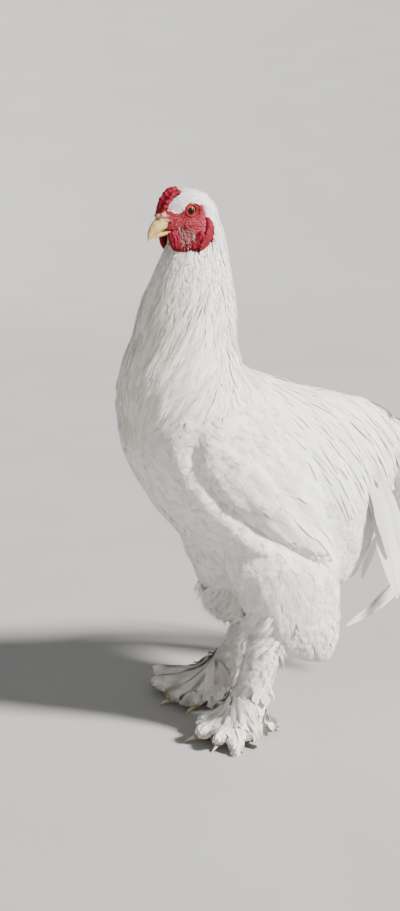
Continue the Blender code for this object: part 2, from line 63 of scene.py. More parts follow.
def unit(vectors):
    """Vectors of length one, whatever the leading shape."""
    return vectors / np.maximum(np.linalg.norm(vectors, axis=-1, keepdims=True), 1e-12)


def ease(low, high, value):
    """0 below low, 1 above high and smooth between; low may be the larger of the two."""
    share = np.clip((value - low) / (high - low), 0.0, 1.0)
    return share * share * (3.0 - 2.0 * share)


def hump(value, at, wide):
    """A smooth bump of height one."""
    return np.exp(-((value - at) / wide) ** 2)


def flatten(vectors, normals):
    """The part of each vector that lies in the surface, as a unit vector."""
    return unit(vectors - (vectors * normals).sum(-1, keepdims=True) * normals)


def lattice(cells, seed):
    """A fixed random number from 0 to 1 for each whole-number cell."""
    x, y, z = (cells[..., k] * CELL_PRIMES[k] for k in range(3))
    mixed = ((x ^ y ^ z) + seed * SEED_PRIME) & WORD
    for shift, factor in MIX_STEPS:
        mixed = ((mixed ^ (mixed >> shift)) * factor) & WORD
    return (mixed ^ (mixed >> 16)) / WORD


def noise(points, scale, seed):
    """Smooth value noise from 0 to 1 with lumps about as wide as scale."""
    scaled = points / scale
    cell = np.floor(scaled).astype(np.int64)
    part = scaled - cell
    part = part * part * (3.0 - 2.0 * part)
    total = np.zeros(points.shape[:-1])
    for corner in range(8):
        step = np.array((corner & 1, corner >> 1 & 1, corner >> 2 & 1))
        total += np.where(step, part, 1.0 - part).prod(-1) * lattice(cell + step, seed)
    return total


def spread(count, low, high):
    """Random numbers between two limits."""
    return low + (high - low) * RNG.random(count)


def share_of(box, points, axis):
    """0 to 1 across a box along one axis."""
    low, high = box
    return (points[:, axis] - low[axis]) / (high[axis] - low[axis])


# ---------------------------------------------------------------- meshes and surfaces


def link_object(name, data):
    """A new object in the scene."""
    obj = bpy.data.objects.new(name, data)
    bpy.context.scene.collection.objects.link(obj)
    return obj


def drop(obj):
    """Removes a helper object and its mesh."""
    mesh = obj.data
    bpy.data.objects.remove(obj)
    bpy.data.meshes.remove(mesh)


def mesh_object(name, points, faces):
    """An object from arrays of points and faces."""
    mesh = bpy.data.meshes.new(name)
    mesh.from_pydata(points.tolist(), [], faces.tolist())
    mesh.update()
    return link_object(name, mesh)


def read(items, key, wide, kind=float):
    """One property of a mesh's vertices, edges or triangles, a row for each."""
    flat = np.empty(len(items) * wide, dtype=kind)
    items.foreach_get(key, flat)
    return flat.reshape(-1, wide)


def points_of(mesh):
    """Vertex positions as an array."""
    return read(mesh.vertices, "co", 3)


def normals_of(mesh):
    """Smooth vertex normals as an array."""
    return read(mesh.vertices, "normal", 3)


def arrays_of(mesh):
    """Points and triangles of a mesh."""
    mesh.calc_loop_triangles()
    return points_of(mesh), read(mesh.loop_triangles, "vertices", 3, np.int32)


def node_arrays(node):
    """Points and triangles of a CAD node."""
    return arrays_of(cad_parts[node].data)


def move_points(mesh, points):
    """Writes new vertex positions."""
    mesh.vertices.foreach_set("co", points.ravel())
    mesh.update()


def push(mesh, outward):
    """Moves each vertex along its normal, by its own number of metres."""
    move_points(mesh, points_of(mesh) + normals_of(mesh) * outward[:, None])


def attribute(mesh, name, kind, values):
    """Stores values for each vertex."""
    layer = mesh.attributes.new(name, kind, "POINT")
    layer.data.foreach_set("color" if kind == "FLOAT_COLOR" else "value", values.ravel())


def applied(obj, kind, **settings):
    """The object with one modifier applied to its mesh."""
    modifier = obj.modifiers.new(kind, kind)
    for key, value in settings.items():
        setattr(modifier, key, value)
    depsgraph = bpy.context.evaluated_depsgraph_get()
    fresh = bpy.data.meshes.new_from_object(obj.evaluated_get(depsgraph))
    obj.modifiers.clear()
    old, obj.data = obj.data, fresh
    bpy.data.meshes.remove(old)
    return obj


def gather(parts):
    """Several (points, triangles) pairs as one."""
    points, faces, start = [], [], 0
    for part_points, part_faces in parts:
        points.append(part_points)
        faces.append(part_faces + start)
        start += len(part_points)
    return np.concatenate(points), np.concatenate(faces)


def fused(name, parts, voxel, smoothing):
    """Closed shells melted into one object, at a voxel size, with the steps smoothed away."""
    obj = mesh_object(name, *gather(parts))
    applied(obj, "REMESH", mode="VOXEL", voxel_size=voxel, adaptivity=0.0)
    return applied(obj, "SMOOTH", factor=0.5, iterations=smoothing)


def finished(obj, material, stands_for):
    """Makes an object a piece: its material, body and the solids it stands for."""
    obj.data.materials.clear()
    obj.data.materials.append(material)
    obj.data.shade_smooth()
    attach(obj, "root")
    if stands_for:
        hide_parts(*stands_for)


def ring_pairs(rows, around):
    """Numbers of neighbouring points, for rings of points in rows, leaving out the last row."""
    return [(row * around + k, row * around + (k + 1) % around)
            for row in range(rows - 1) for k in range(around)]


def ring_triangles(rows, around):
    """Triangles between each ring of points and the next."""
    return [face for a, b in ring_pairs(rows, around)
            for face in ((a, a + around, b + around), (a, b + around, b))]


def doubled_area(a, b, c):
    """Twice the area of each triangle with these corners."""
    return np.linalg.norm(np.cross(b - a, c - a), axis=1)


class Surface:
    """A mesh that answers where its nearest point is and which way it faces."""

    def __init__(self, points, triangles, normals=None):
        self.points = points
        self.triangles = triangles
        self.tree = BVHTree.FromPolygons(points.tolist(), triangles.tolist())
        self.normals = self.smooth_normals() if normals is None else normals

    def corners(self, picked=slice(None)):
        """Places of the three corners of some or all triangles."""
        return [self.points[self.triangles[picked, k]] for k in range(3)]

    def smooth_normals(self):
        """Area-weighted vertex normals."""
        a, b, c = self.corners()
        face = np.cross(b - a, c - a)
        total = np.zeros_like(self.points)
        for k in range(3):
            np.add.at(total, self.triangles[:, k], face)
        return unit(total)

    def near(self, points):
        """Nearest places and smooth normals for an (n, 3) array."""
        found = [self.tree.find_nearest(p) for p in points.tolist()]
        places = np.array([f[0][:] for f in found])
        picked = np.array([f[2] for f in found])
        a, b, c = self.corners(picked)
        whole = doubled_area(a, b, c) + 1e-15
        share_a = doubled_area(places, b, c) / whole
        share_b = doubled_area(places, a, c) / whole
        share_c = np.clip(1.0 - share_a - share_b, 0.0, 1.0)
        shares = np.stack((share_a, share_b, share_c), axis=1)[:, :, None]
        return places, unit((self.normals[self.triangles[picked]] * shares).sum(1))

    def far(self, points):
        """How far each point is from the surface."""
        return np.array([self.tree.find_nearest(p)[3] for p in points.tolist()])

    def scatter(self, count):
        """Random places spread evenly over the surface."""
        a, b, c = self.corners()
        area = doubled_area(a, b, c)
        pick = RNG.choice(len(area), size=count, p=area / area.sum())
        s, t = RNG.random((2, count, 1))
        fold = (s + t) > 1.0
        s, t = np.where(fold, 1.0 - s, s), np.where(fold, 1.0 - t, t)
        return a[pick] + s * (b[pick] - a[pick]) + t * (c[pick] - a[pick])

    def area(self):
        """Whole area in square metres."""
        return doubled_area(*self.corners()).sum() / 2.0


def surface_of(obj):
    """The Surface of a helper object, which goes away."""
    surface = Surface(*arrays_of(obj.data), normals_of(obj.data))
    drop(obj)
    return surface


def thinned(points, spacing):
    """Numbers of the points that stay when none may be nearer to another than its spacing."""
    kept, grid = [], {}
    keys = np.floor(points / float(spacing.max())).astype(int)
    rows = zip(keys.tolist(), points.tolist(), spacing.tolist())
    for number, ((i, j, k), (x, y, z), gap) in enumerate(rows):
        near = (other for a, b, c in AROUND for other in grid.get((i + a, j + b, k + c), ()))
        if all((u - x) ** 2 + (v - y) ** 2 + (w - z) ** 2 >= gap * gap for u, v, w in near):
            kept.append(number)
            grid.setdefault((i, j, k), []).append((x, y, z))
    return np.array(kept, dtype=int)


# ---------------------------------------------------------------- the head's own axes

HEAD_TURN_DEG = 8.0
HEAD_NOD_DEG = 20.0


def box_middle(node):
    """Middle of a CAD node's box as an array."""
    low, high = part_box(node)
    return np.array((low + high) / 2)


def head_axes():
    """The head's forward, left and up directions, as columns."""
    turn = Matrix.Rotation(math.radians(HEAD_TURN_DEG), 3, "Z")
    nod = Matrix.Rotation(math.radians(-HEAD_NOD_DEG), 3, "Y")
    return np.array(turn @ nod @ Matrix.Diagonal((-1.0, -1.0, 1.0)))


HEAD_AT = (box_middle("eye_left") + box_middle("eye_right")) / 2
HEAD_AXES = head_axes()
FORWARD, _, UPWARD = HEAD_AXES.T
MIDLINE = box_middle("trunk")[1]


def to_head(points):
    """Row frame to millimetres forward, left and up of the middle between the eyes."""
    return (points - HEAD_AT) @ HEAD_AXES / MM


def from_head(local):
    """Head millimetres back to the row frame."""
    return HEAD_AT + (np.asarray(local, dtype=float) * MM) @ HEAD_AXES.T


# ---------------------------------------------------------------- markings shared by skin and coat

# closed loops on the side of the head, as (forward, up) in head mm
BARE_FACE = ((15, 1.5), (8, 4.5), (3, 8.5), (-3, 10), (-11, 6), (-17, -1), (-15, -13), (-18.5, -24),
             (-16, -32), (-8, -42), (10, -46), (24, -44), (32, -34), (44, -24), (70, -24), (70, 14),
             (40, 14), (34, 9), (24, 10), (19.5, 5))
CHEEK = ((24, -6), (10, -9), (-6, -12), (-11, -22), (2, -26), (10, -20), (20, -14))
WHISKERS = ((21, -13), (9, -19), (14, -29), (23, -35), (27, -32), (26, -22))
BARE_EDGE, CHEEK_OUT = 3.0, 6.0
DUST_FROM, DUST_FULL, DUST_PATCH = 150 * MM, 15 * MM, 22 * MM
CREAM_LOW, CREAM_HIGH, CREAM_PATCH, CREAM_LEAST = (0.40, 0.46), (0.66, 0.58), 35 * MM, 0.12


def inside_loop(local, loop):
    """True where head points lie inside a closed loop, seen from the side."""
    across, up = local[..., 0], local[..., 2]
    inside = np.zeros(across.shape, dtype=bool)
    for (x0, y0), (x1, y1) in zip(loop, loop[1:] + loop[:1]):
        crosses = (y0 > up) != (y1 > up)
        reach = x0 + (up - y0) * (x1 - x0) / (y1 - y0 + 1e-12)
        inside ^= crosses & (across < reach)
    return inside


def bare(points):
    """True where the face is bare red skin, with an uneven edge."""
    local = to_head(points)
    along, up = (noise(local, BARE_EDGE, seed) - 0.5 for seed in (41, 42))
    return inside_loop(local + BARE_EDGE * np.stack((along, np.zeros_like(along), up), -1), BARE_FACE)


def dust(points):
    """0 for clean plumage to 1 for feathers stained brown by the ground."""
    low = ease(DUST_FROM, DUST_FULL, points[..., 2])
    return low * (0.15 + 0.75 * ease(0.35, 0.8, noise(points, DUST_PATCH, 3)))


def cream(points):
    """0 for pure white to 1 for the cream cast of the neck and saddle."""
    neck = ease(*CREAM_LOW, points[..., 2]) * ease(*CREAM_HIGH, points[..., 2])
    return np.clip(neck * (0.25 + 0.5 * noise(points, CREAM_PATCH, 5)) + CREAM_LEAST, 0.0, 1.0)


# ---------------------------------------------------------------- skin


def both(*parts):
    """Names of the left and right node of each paired part."""
    return tuple(f"{part}_{side}" for part in parts for side in SIDES)


FACE_VOXEL, BILL_VOXEL, CLAW_VOXEL, FOOT_VOXEL = 0.62 * MM, 0.45 * MM, 0.5 * MM, 1.1 * MM
HEAD_VOXEL, FAN_VOXEL, HULL_VOXEL, BODY_VOXEL = 1.2 * MM, 1.6 * MM, 3.0 * MM, 3.2 * MM
# how deep the skin lies under the solids, in mm
SKIN_DEPTH = {"neck": 2.2, "trunk": 2.7, "thigh": 3.1, "wing": 2.5, "shank": 2.6, "tail": 6.0}
HEAD_SKIN_DEPTH, FLESH_EDGE, COATED_RELIEF = 1.3 * MM, 1.2 * MM, 0.2
FACE_NODES = ("comb", *both("earlobe", "wattle"))
BODY_NODES = ("neck", "trunk", *both("thigh", "wing"), "tail", *both("shank"))
COAT_NODES = ("head", "neck", "trunk", *both("thigh", "wing", "shank"), "tail")
GROOVED = ("trunk", "neck", *both("thigh"))
PEA_ROUND, PEA_ROWS = 8, 4
COMB_PEA, COMB_PEA_GAP, COMB_FOOT, COMB_TRIES = 1.75, 3.3 * MM, 6.0, 2500


def unit_pea():
    """A ball of radius one as points and triangles."""
    polar = np.linspace(0.0, math.pi, PEA_ROWS + 2)[1:-1]
    turn = np.arange(PEA_ROUND) * TURN / PEA_ROUND
    rings = [np.stack((np.sin(p) * np.cos(turn), np.sin(p) * np.sin(turn),
                       np.full(PEA_ROUND, np.cos(p))), -1) for p in polar]
    faces = ring_triangles(PEA_ROWS, PEA_ROUND)
    top, last = PEA_ROWS * PEA_ROUND, (PEA_ROWS - 1) * PEA_ROUND
    for k in range(PEA_ROUND):
        following = (k + 1) % PEA_ROUND
        faces += [(top, k, following), (top + 1, last + following, last + k)]
    return np.concatenate((*rings, (UP, -UP))), np.array(faces)


PEA_POINTS, PEA_FACES = unit_pea()


def pea(centre, radius):
    """A small round lump as points and triangles."""
    return PEA_POINTS * radius + centre, PEA_FACES


def comb_peas():
    """The knobs along the comb, as (points, triangles) pairs."""
    surface = Surface(*node_arrays("comb"))
    places = surface.scatter(COMB_TRIES)
    places = places[thinned(places, np.full(len(places), COMB_PEA_GAP))]
    _, normals = surface.near(places)
    raised = to_head(places)[:, 2] > COMB_FOOT
    size = COMB_PEA * (0.75 + 0.5 * RNG.random(len(places)))
    return [pea(p - n * 0.5 * s * MM, s * MM)
            for p, n, s, high in zip(places, normals, size, raised) if high]


# bands of loose flesh on each side, each a run of (forward, out, up, radius) in head mm: the earlobe's
# lower end round to the wattle, the wattle's front, middle and back, the lobe's lowest fold, and the
# swellings over and under the nostril
DEWLAP = (((3.0, 27.6, -29.0, 4.2), (8.0, 26.4, -32.5, 4.8), (14.0, 24.0, -35.0, 4.8),
           (20.5, 21.4, -37.0, 4.6), (26.0, 17.8, -38.0, 4.0), (30.5, 14.0, -37.0, 3.6)),
          ((33.0, 10.0, -16.0, 2.4), (34.4, 10.8, -23.0, 3.2), (34.6, 11.2, -29.0, 3.4),
           (32.5, 11.6, -35.0, 3.4)),
          ((30.5, 11.8, -16.5, 2.6), (30.8, 12.4, -24.0, 3.5), (31.4, 12.5, -30.0, 3.7),
           (31.5, 12.3, -35.0, 3.5)),
          ((27.5, 12.2, -17.0, 2.6), (27.0, 13.0, -24.0, 3.6), (28.0, 13.0, -31.0, 3.8),
           (30.5, 12.4, -36.5, 3.2)),
          ((6.0, 28.6, -39.0, 3.4), (11.0, 27.6, -39.5, 3.8), (16.0, 25.4, -39.0, 3.8)))
CERE = (((37.0, 2.6, 7.4, 2.0), (33.0, 4.9, 6.2, 2.5), (29.4, 7.0, 4.4, 2.6), (26.0, 8.8, 1.8, 2.6)),
        ((35.6, 5.0, 1.6, 1.5), (33.0, 6.3, 0.2, 2.0), (29.6, 8.0, -1.4, 2.3), (26.6, 9.6, -3.0, 2.4)))
BAND_STEPS = 5


def bands(runs):
    """Smooth bands of flesh on both sides of the head, as (points, triangles) pairs."""
    balls = []
    for run in map(np.array, runs):
        for first, second in zip(run[:-1], run[1:]):
            balls += [first + (second - first) * step / BAND_STEPS for step in range(BAND_STEPS)]
        balls.append(run[-1])
    return [pea(from_head((forward, sign * out, up)), radius * MM)
            for forward, out, up, radius in balls for sign in SIDES.values()]


NODE_SURFACE = {node: Surface(*node_arrays(node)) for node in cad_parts}
FLESH = Surface(*gather([node_arrays(node) for node in FACE_NODES] + bands(DEWLAP)))
# in mm: the lid's rings by distance from the eye's axis, then how far out the socket and the lid stand
LID_INNER, LID_EDGE, LID_CREST, LID_HELD, LID_GROOVE, LID_END = 5.2, 6.1, 7.0, 8.6, 8.9, 12.0
SOCKET_OUT, LID_OUT, LID_RAISED, LID_SUNK = 10.0, 7.6, 1.25, 0.5


def shape_eyes(local):
    """Opens the skin round the eyeballs and raises the lids, in head mm."""
    reach = np.hypot(local[:, 0] / 1.05, local[:, 2] / 0.95)
    crest, groove = hump(reach, LID_CREST, 0.9), hump(reach, LID_GROOVE, 1.0)
    opened = SOCKET_OUT + ease(LID_INNER, LID_EDGE, reach) * LID_OUT
    height = opened + LID_RAISED * crest - LID_SUNK * groove
    hold = ease(LID_END, LID_HELD, reach)
    for side in SIDES.values():
        here = (local[:, 1] * side > CHEEK_OUT) & (reach < LID_END)
        out = local[here, 1] * side
        local[here, 1] = side * (out + (height[here] - out) * hold[here])
    return local


def creases(local, squash, scale, seed):
    """Narrow creases, 0 in them to 1 between, with the noise squashed by its own factors."""
    return np.abs(noise(local * squash, scale, seed) - 0.5) * 2.0


def face_relief(local):
    """Wrinkles, folds and fine grain of the bare skin, in millimetres along the normal."""
    across, _, up = local.T
    reach = np.hypot(across, up)
    rings = np.sin(reach * 1.5 + 2.0 * noise(local, 6.0, 11))
    rings = rings * ease(16.0, 9.0, reach) * ease(8.0, 9.5, reach)
    cheek = ease(10.0, 16.0, reach) * ease(16.0, 22.0, across + 18.0)
    folds = creases(local, (0.6, 1.0, 1.0), 2.6, 12)
    wrinkle = creases(local, (1.0, 1.0, 0.45), 3.4, 14)
    fleshy = ease(-16.0, -22.0, up)
    return (0.22 * rings + 0.55 * (folds - 0.35) * cheek + 0.32 * (noise(local, 0.95, 13) - 0.5)
            + 0.7 * (wrinkle - 0.3) * fleshy)


def sunk_head():
    """The head solid, drawn in under the small feathers but not under the bare face."""
    obj = fused("skull", [node_arrays("head")], HEAD_VOXEL, 2)
    points, triangles = arrays_of(obj.data)
    depth = np.where(bare(points), 0.0, HEAD_SKIN_DEPTH)
    sunk = points - normals_of(obj.data) * depth[:, None]
    drop(obj)
    return sunk, triangles


def head_skin():
    """The bare head: comb with its knobs, face, wattles and earlobes in one surface."""
    parts = [node_arrays(node) for node in FACE_NODES] + comb_peas() + bands(DEWLAP) + bands(CERE)
    flesh = fused("flesh", parts, FACE_VOXEL, 4)
    parts = [arrays_of(flesh.data), sunk_head()]
    drop(flesh)
    obj = fused("head_skin", parts, FACE_VOXEL, 3)
    normals = normals_of(obj.data)
    local = shape_eyes(to_head(points_of(obj.data)))
    red = bare(from_head(local)) | (FLESH.far(from_head(local)) < FLESH_EDGE)
    local += (normals @ HEAD_AXES) * (face_relief(local) * np.where(red, 1.0, COATED_RELIEF))[:, None]
    move_points(obj.data, from_head(local))
    return obj


# a groove round each folded wing, then a raised fold and a valley in the coat before it
GROOVE_DEPTH, GROOVE_REACH, GROOVE_TOP, GROOVE_FULL = 5.2 * MM, 15 * MM, 25 * MM, 60 * MM
WING_OVER, WING_UNDER, THIGH_NEARER = 10 * MM, -15 * MM, 4 * MM
FOLD_RISE, FOLD_AT, FOLD_WIDE = 3 * MM, 25 * MM, 9 * MM
VALLEY_DEPTH, VALLEY_AT, VALLEY_WIDE = 2.4 * MM, 48 * MM, 10 * MM


def wing_places(points, side):
    """Metres along a folded wing from its butt, metres above its middle line, and the wing's length."""
    low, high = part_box(f"wing_{side}")
    butt, tip = np.array((low.x, high.z)), np.array((high.x, low.z))
    axis = unit(tip - butt)
    flat = points[:, (0, 2)] - butt
    return flat @ axis, flat @ np.array((-axis[1], axis[0])), np.linalg.norm(tip - butt)


def far_from(points, nodes):
    """Distance of each point from each node, a row for each node."""
    return np.array([NODE_SURFACE[node].far(points) for node in nodes])


def wing_groove(points):
    """How far the body draws in round a folded wing, with a fold of breast feathers before the wing."""
    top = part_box("wing_left")[1].z
    depth = np.zeros(len(points))
    number = np.flatnonzero(points[:, 2] < top - GROOVE_TOP)
    wing = far_from(points[number], both("wing")).min(0)
    close = wing <= VALLEY_AT + 2.0 * VALLEY_WIDE
    number, wing = number[close], wing[close]
    body = far_from(points[number], GROOVED)
    before = ease(WING_OVER, WING_UNDER, wing_places(points[number], "left")[1])
    folds = before * (body[:2].min(0) < body[2:].min(0) - THIGH_NEARER)
    fold = VALLEY_DEPTH * hump(wing, VALLEY_AT, VALLEY_WIDE) - FOLD_RISE * hump(wing, FOLD_AT, FOLD_WIDE)
    groove = GROOVE_DEPTH * (1.0 - wing / GROOVE_REACH).clip(0.0) * (0.4 + 0.6 * before)
    depth[number] = np.where(body.min(0) > wing, 0.0, groove + fold * folds)
    return depth * ease(top - GROOVE_TOP, top - GROOVE_FULL, points[:, 2])


# lock width (mm), rise (mm), and the lie of the locks as (x, z), for the kinds of coat that clump
LOCKS = {"trunk": (14.0, 2.4, (0.45, -0.89)), "wing": (11.0, 2.0, (0.66, -0.75)),
         "thigh": (12.0, 2.2, (0.12, -0.99)), "tail": (9.0, 1.2, (0.2, -0.98))}
NECK_LOCK_WIDE, NECK_LOCK_RISE, NECK_TOP = 10.0, 2.4, 0.62


def lock_rise(place, wide, high, seed):
    """Rise or fall of locks of a width, up to a height in mm, in metres."""
    return high * MM * 2.0 * (noise(place, wide * MM, seed) - 0.5)


def locks(points, nodes):
    """Rise of the soft clumps that the coat falls into, in metres."""
    kind = far_from(points, nodes).argmin(0)
    x, y, z = points.T
    rise = np.zeros(len(points))
    for number, node in enumerate(nodes):
        here = kind == number
        part = node.split("_")[0]
        if part in LOCKS:
            wide, high, (lie_x, lie_z) = LOCKS[part]
            along = (x * lie_x + z * lie_z) * 0.28
            place = np.stack((x * -lie_z + z * lie_x, y, along), 1)[here]
            rise[here] = lock_rise(place, wide, high, 31)
        elif part == "neck":
            swept = 0.20 * z - 0.40 * (NECK_TOP - z).clip(0.0) ** 2 / 0.17
            place = np.stack((x - swept, y, z * 0.16), 1)[here]
            rise[here] = lock_rise(place, NECK_LOCK_WIDE, NECK_LOCK_RISE, 32) * ease(0.66, 0.56, z[here])
    return rise


def body_skin():
    """The body under the coat, drawn in by the depth of the feathers over each part."""
    obj = fused("body_skin", [node_arrays(node) for node in BODY_NODES], BODY_VOXEL, 6)
    points = points_of(obj.data)
    depth = np.array([SKIN_DEPTH[node.split("_")[0]] for node in BODY_NODES])
    push(obj.data, -(depth[far_from(points, BODY_NODES).argmin(0)] * MM + wing_groove(points)))
    return applied(obj, "SMOOTH", factor=0.5, iterations=6)


def coat_hull():
    """The surface that the feathers lie along: the outside of the coat, grooved round the wings."""
    obj = fused("hull", [node_arrays(node) for node in COAT_NODES], HULL_VOXEL, 3)
    points = points_of(obj.data)
    push(obj.data, locks(points, COAT_NODES) - wing_groove(points))
    return surface_of(applied(obj, "SMOOTH", factor=0.5, iterations=2))


SHANK_BARE, SHANK_COATED = 20 * MM, 45 * MM


def foot_skin(side):
    """A scaled foot on its shank, the shank drawn in under its feathers."""
    parts = [node_arrays(f"foot_{side}"), node_arrays(f"shank_{side}")]
    obj = fused(f"foot_skin_{side}", parts, FOOT_VOXEL, 3)
    coated = ease(SHANK_BARE, SHANK_COATED, points_of(obj.data)[:, 2])
    push(obj.data, -SKIN_DEPTH["shank"] * MM * coated)
    return obj


SPECK = 200


def drop_specks(mesh):
    """Removes the loose specks of a few vertices that the remesh leaves behind."""
    net = bmesh.new()
    net.from_mesh(mesh)
    waiting, specks = set(net.verts), []
    while waiting:
        part = [waiting.pop()]
        for vertex in part:
            touching = {edge.other_vert(vertex) for edge in vertex.link_edges} & waiting
            waiting -= touching
            part += touching
        if len(part) < SPECK:
            specks += part
    bmesh.ops.delete(net, geom=specks, context="VERTS")
    net.to_mesh(mesh)
    net.free()


def merged(first, *others):
    """Boolean union of closed meshes as one part in triangles, eating the others."""
    for other in others:
        applied(first, "BOOLEAN", operation="UNION", object=other, solver="MANIFOLD")
        drop(other)
    applied(first, "TRIANGULATE")
    drop_specks(first.data)
    return first


# ---------------------------------------------------------------- feathers


def outline(base, grown, power, end, least, start=0.0):
    """A feather's outline: a function giving the share of full width at each share of its length."""
    def width(along):
        rise = np.clip((along - start) / grown, 0.0, 1.0) ** power
        return (base + (1.0 - base) * rise) * np.maximum(end(along), least)
    return width


def rounded(start, run):
    """The end of an outline, closing in a quarter of an ellipse."""
    return lambda along: np.sqrt(np.clip(1.0 - ((along - start) / run).clip(0.0) ** 2, 0.0, 1.0))


def pointed(run, power):
    """The end of an outline, drawn out to a point."""
    return lambda along: np.clip((1.0 - along) / run, 0.0, 1.0) ** power


ROUND = outline(0.25, 0.30, 0.6, rounded(0.45, 0.55), 0.10)
LANCE = outline(0.30, 0.35, 0.7, pointed(0.65, 0.75), 0.05)
STRAP = outline(0.35, 0.15, 0.5, rounded(0.80, 0.20), 0.12)
SICKLE = outline(0.10, 0.34, 0.8, pointed(0.5, 0.65), 0.04, start=0.04)


class Vane:
    """A flat feather of unit length and half width: vertices as (along, across) and its triangles."""

    wisp = 4.0

    def __init__(self, barbs, fringe, sweep, profile):
        base = np.linspace(0.0, 1.0, barbs + 1)
        middle = (base[:-1] + base[1:]) / 2.0
        width, tooth_width = profile(base), profile(middle)
        still = np.zeros(barbs + 1)
        along, across, tooth = [base], [still], [still]
        for side in SIDES.values():
            along += [base + sweep * fringe * width, middle + sweep * tooth_width]
            across += [side * fringe * width, side * tooth_width]
            tooth += [still, np.ones(barbs)]
        self.along = np.concatenate(along) / (1.0 + sweep * 0.12)
        self.across = np.concatenate(across)
        self.tooth = np.concatenate(tooth)
        self.barb_gap = 1.0 / barbs
        self.fringe = fringe
        self.triangles = np.array(self.faces(barbs))

    @staticmethod
    def faces(barbs):
        """Triangles of both halves, quill to margin."""
        result = []
        row = barbs + 1
        for half in range(2):
            start = row + half * (row + barbs)
            teeth = start + row
            for k in range(barbs):
                trio = ((k, k + 1, start + k + 1), (k, start + k + 1, start + k),
                        (start + k, start + k + 1, teeth + k))
                result += [t if half else t[::-1] for t in trio]
        return result


class Tuft:
    """A spray of fine strands from one root: (along, across) and triangles, like Vane."""

    wisp, barb_gap, fringe = 0.0, 0.15, 1.0
    steps = np.array((0.0, 0.33, 0.66))
    strand = np.array(((0, 3, 1), (0, 2, 3), (2, 5, 3), (2, 4, 5), (4, 6, 5)))

    def __init__(self, strands, spread_out, thickness):
        along, across = [], []
        half = thickness * (1.0 - 0.45 * self.steps)
        for number, lean in enumerate(np.linspace(-1.0, 1.0, strands)):
            reach = 1.0 - 0.25 * abs(lean) - 0.12 * (number % 2)
            centre = lean * spread_out * (self.steps * reach) ** 0.8
            along += [*np.repeat(self.steps * reach, 2), reach]
            across += [*np.stack((centre - half, centre + half), 1).ravel()]
            across.append(lean * spread_out * reach ** 0.8)
        self.along, self.across = np.array(along), np.array(across)
        self.tooth = np.tile((0.0,) * 6 + (1.0,), strands)
        self.triangles = np.concatenate([self.strand + 7 * k for k in range(strands)])


SPINE_FLOOR, PLUMAGE_FLOOR = 1.2 * MM, 0.6 * MM


def walked(surface, roots, flow, lengths, stations, stiff, hug):
    """Spines that run over a surface along a flow: places and normals, (feathers, stations, 3)."""
    places, normals = surface.near(roots)
    heading = flatten(flow(places, normals), normals)
    spine, facing = [places], [normals]
    step = (lengths / (stations - 1))[:, None]
    for _ in range(stations - 1):
        ahead = places + heading * step
        landed, normals = surface.near(ahead)
        inside = ((ahead - landed) * normals).sum(-1, keepdims=True) < 0.0
        pull = np.where(inside, 1.0, hug)
        places = ahead + (landed - ahead) * pull
        places[:, 2] = np.maximum(places[:, 2], SPINE_FLOOR)
        wish = flatten(flow(landed, normals), normals)
        kept = heading * stiff + wish * (1.0 - stiff)
        heading = unit(flatten(kept, normals) * pull + kept * (1.0 - pull))
        spine.append(places)
        facing.append(normals)
    return np.stack(spine, 1), np.stack(facing, 1)


def along_spine(values, share):
    """Values at a share of the way along each spine; share is (feathers, vertices)."""
    last = values.shape[1] - 1
    position = share * last
    low = np.clip(np.floor(position).astype(int), 0, last - 1)
    part = (position - low)[..., None]
    rows = np.arange(len(values))[:, None]
    return values[rows, low] * (1.0 - part) + values[rows, low + 1] * part


WRAP_REACH = 3.0 * MM


def wrapped(hull, place, out):
    """Places laid onto a surface, all but those that reach well past it, and their outward directions."""
    flat = place.reshape(-1, 3)
    landed, normals = hull.near(flat)
    over = ((flat - landed) * normals).sum(-1)
    pulled = np.where(over[:, None] > WRAP_REACH, flat - normals * 0.5 * MM, landed)
    return pulled.reshape(place.shape), unit(0.5 * out + 0.5 * normals.reshape(out.shape))


BAKE_PATCH, BAKE_EDGE, BAKE_CLIP = 0.003, 0.02, (0.001, 0.999)
# how a feather's margin wanders: shares of a barb's gap and length, its limits, and a few long wisps
GAP_JITTER, REACH_JITTER, REACH_LEAST, REACH_MOST, WISP_ODDS = 0.35, 0.45, 0.2, 1.7, 0.07
RISEN_BY, OWN_RISE = 0.75, 0.16


def in_square(share):
    """0 to 1 fitted inside the OFBake map with a margin."""
    return BAKE_EDGE + (1.0 - 2.0 * BAKE_EDGE) * share


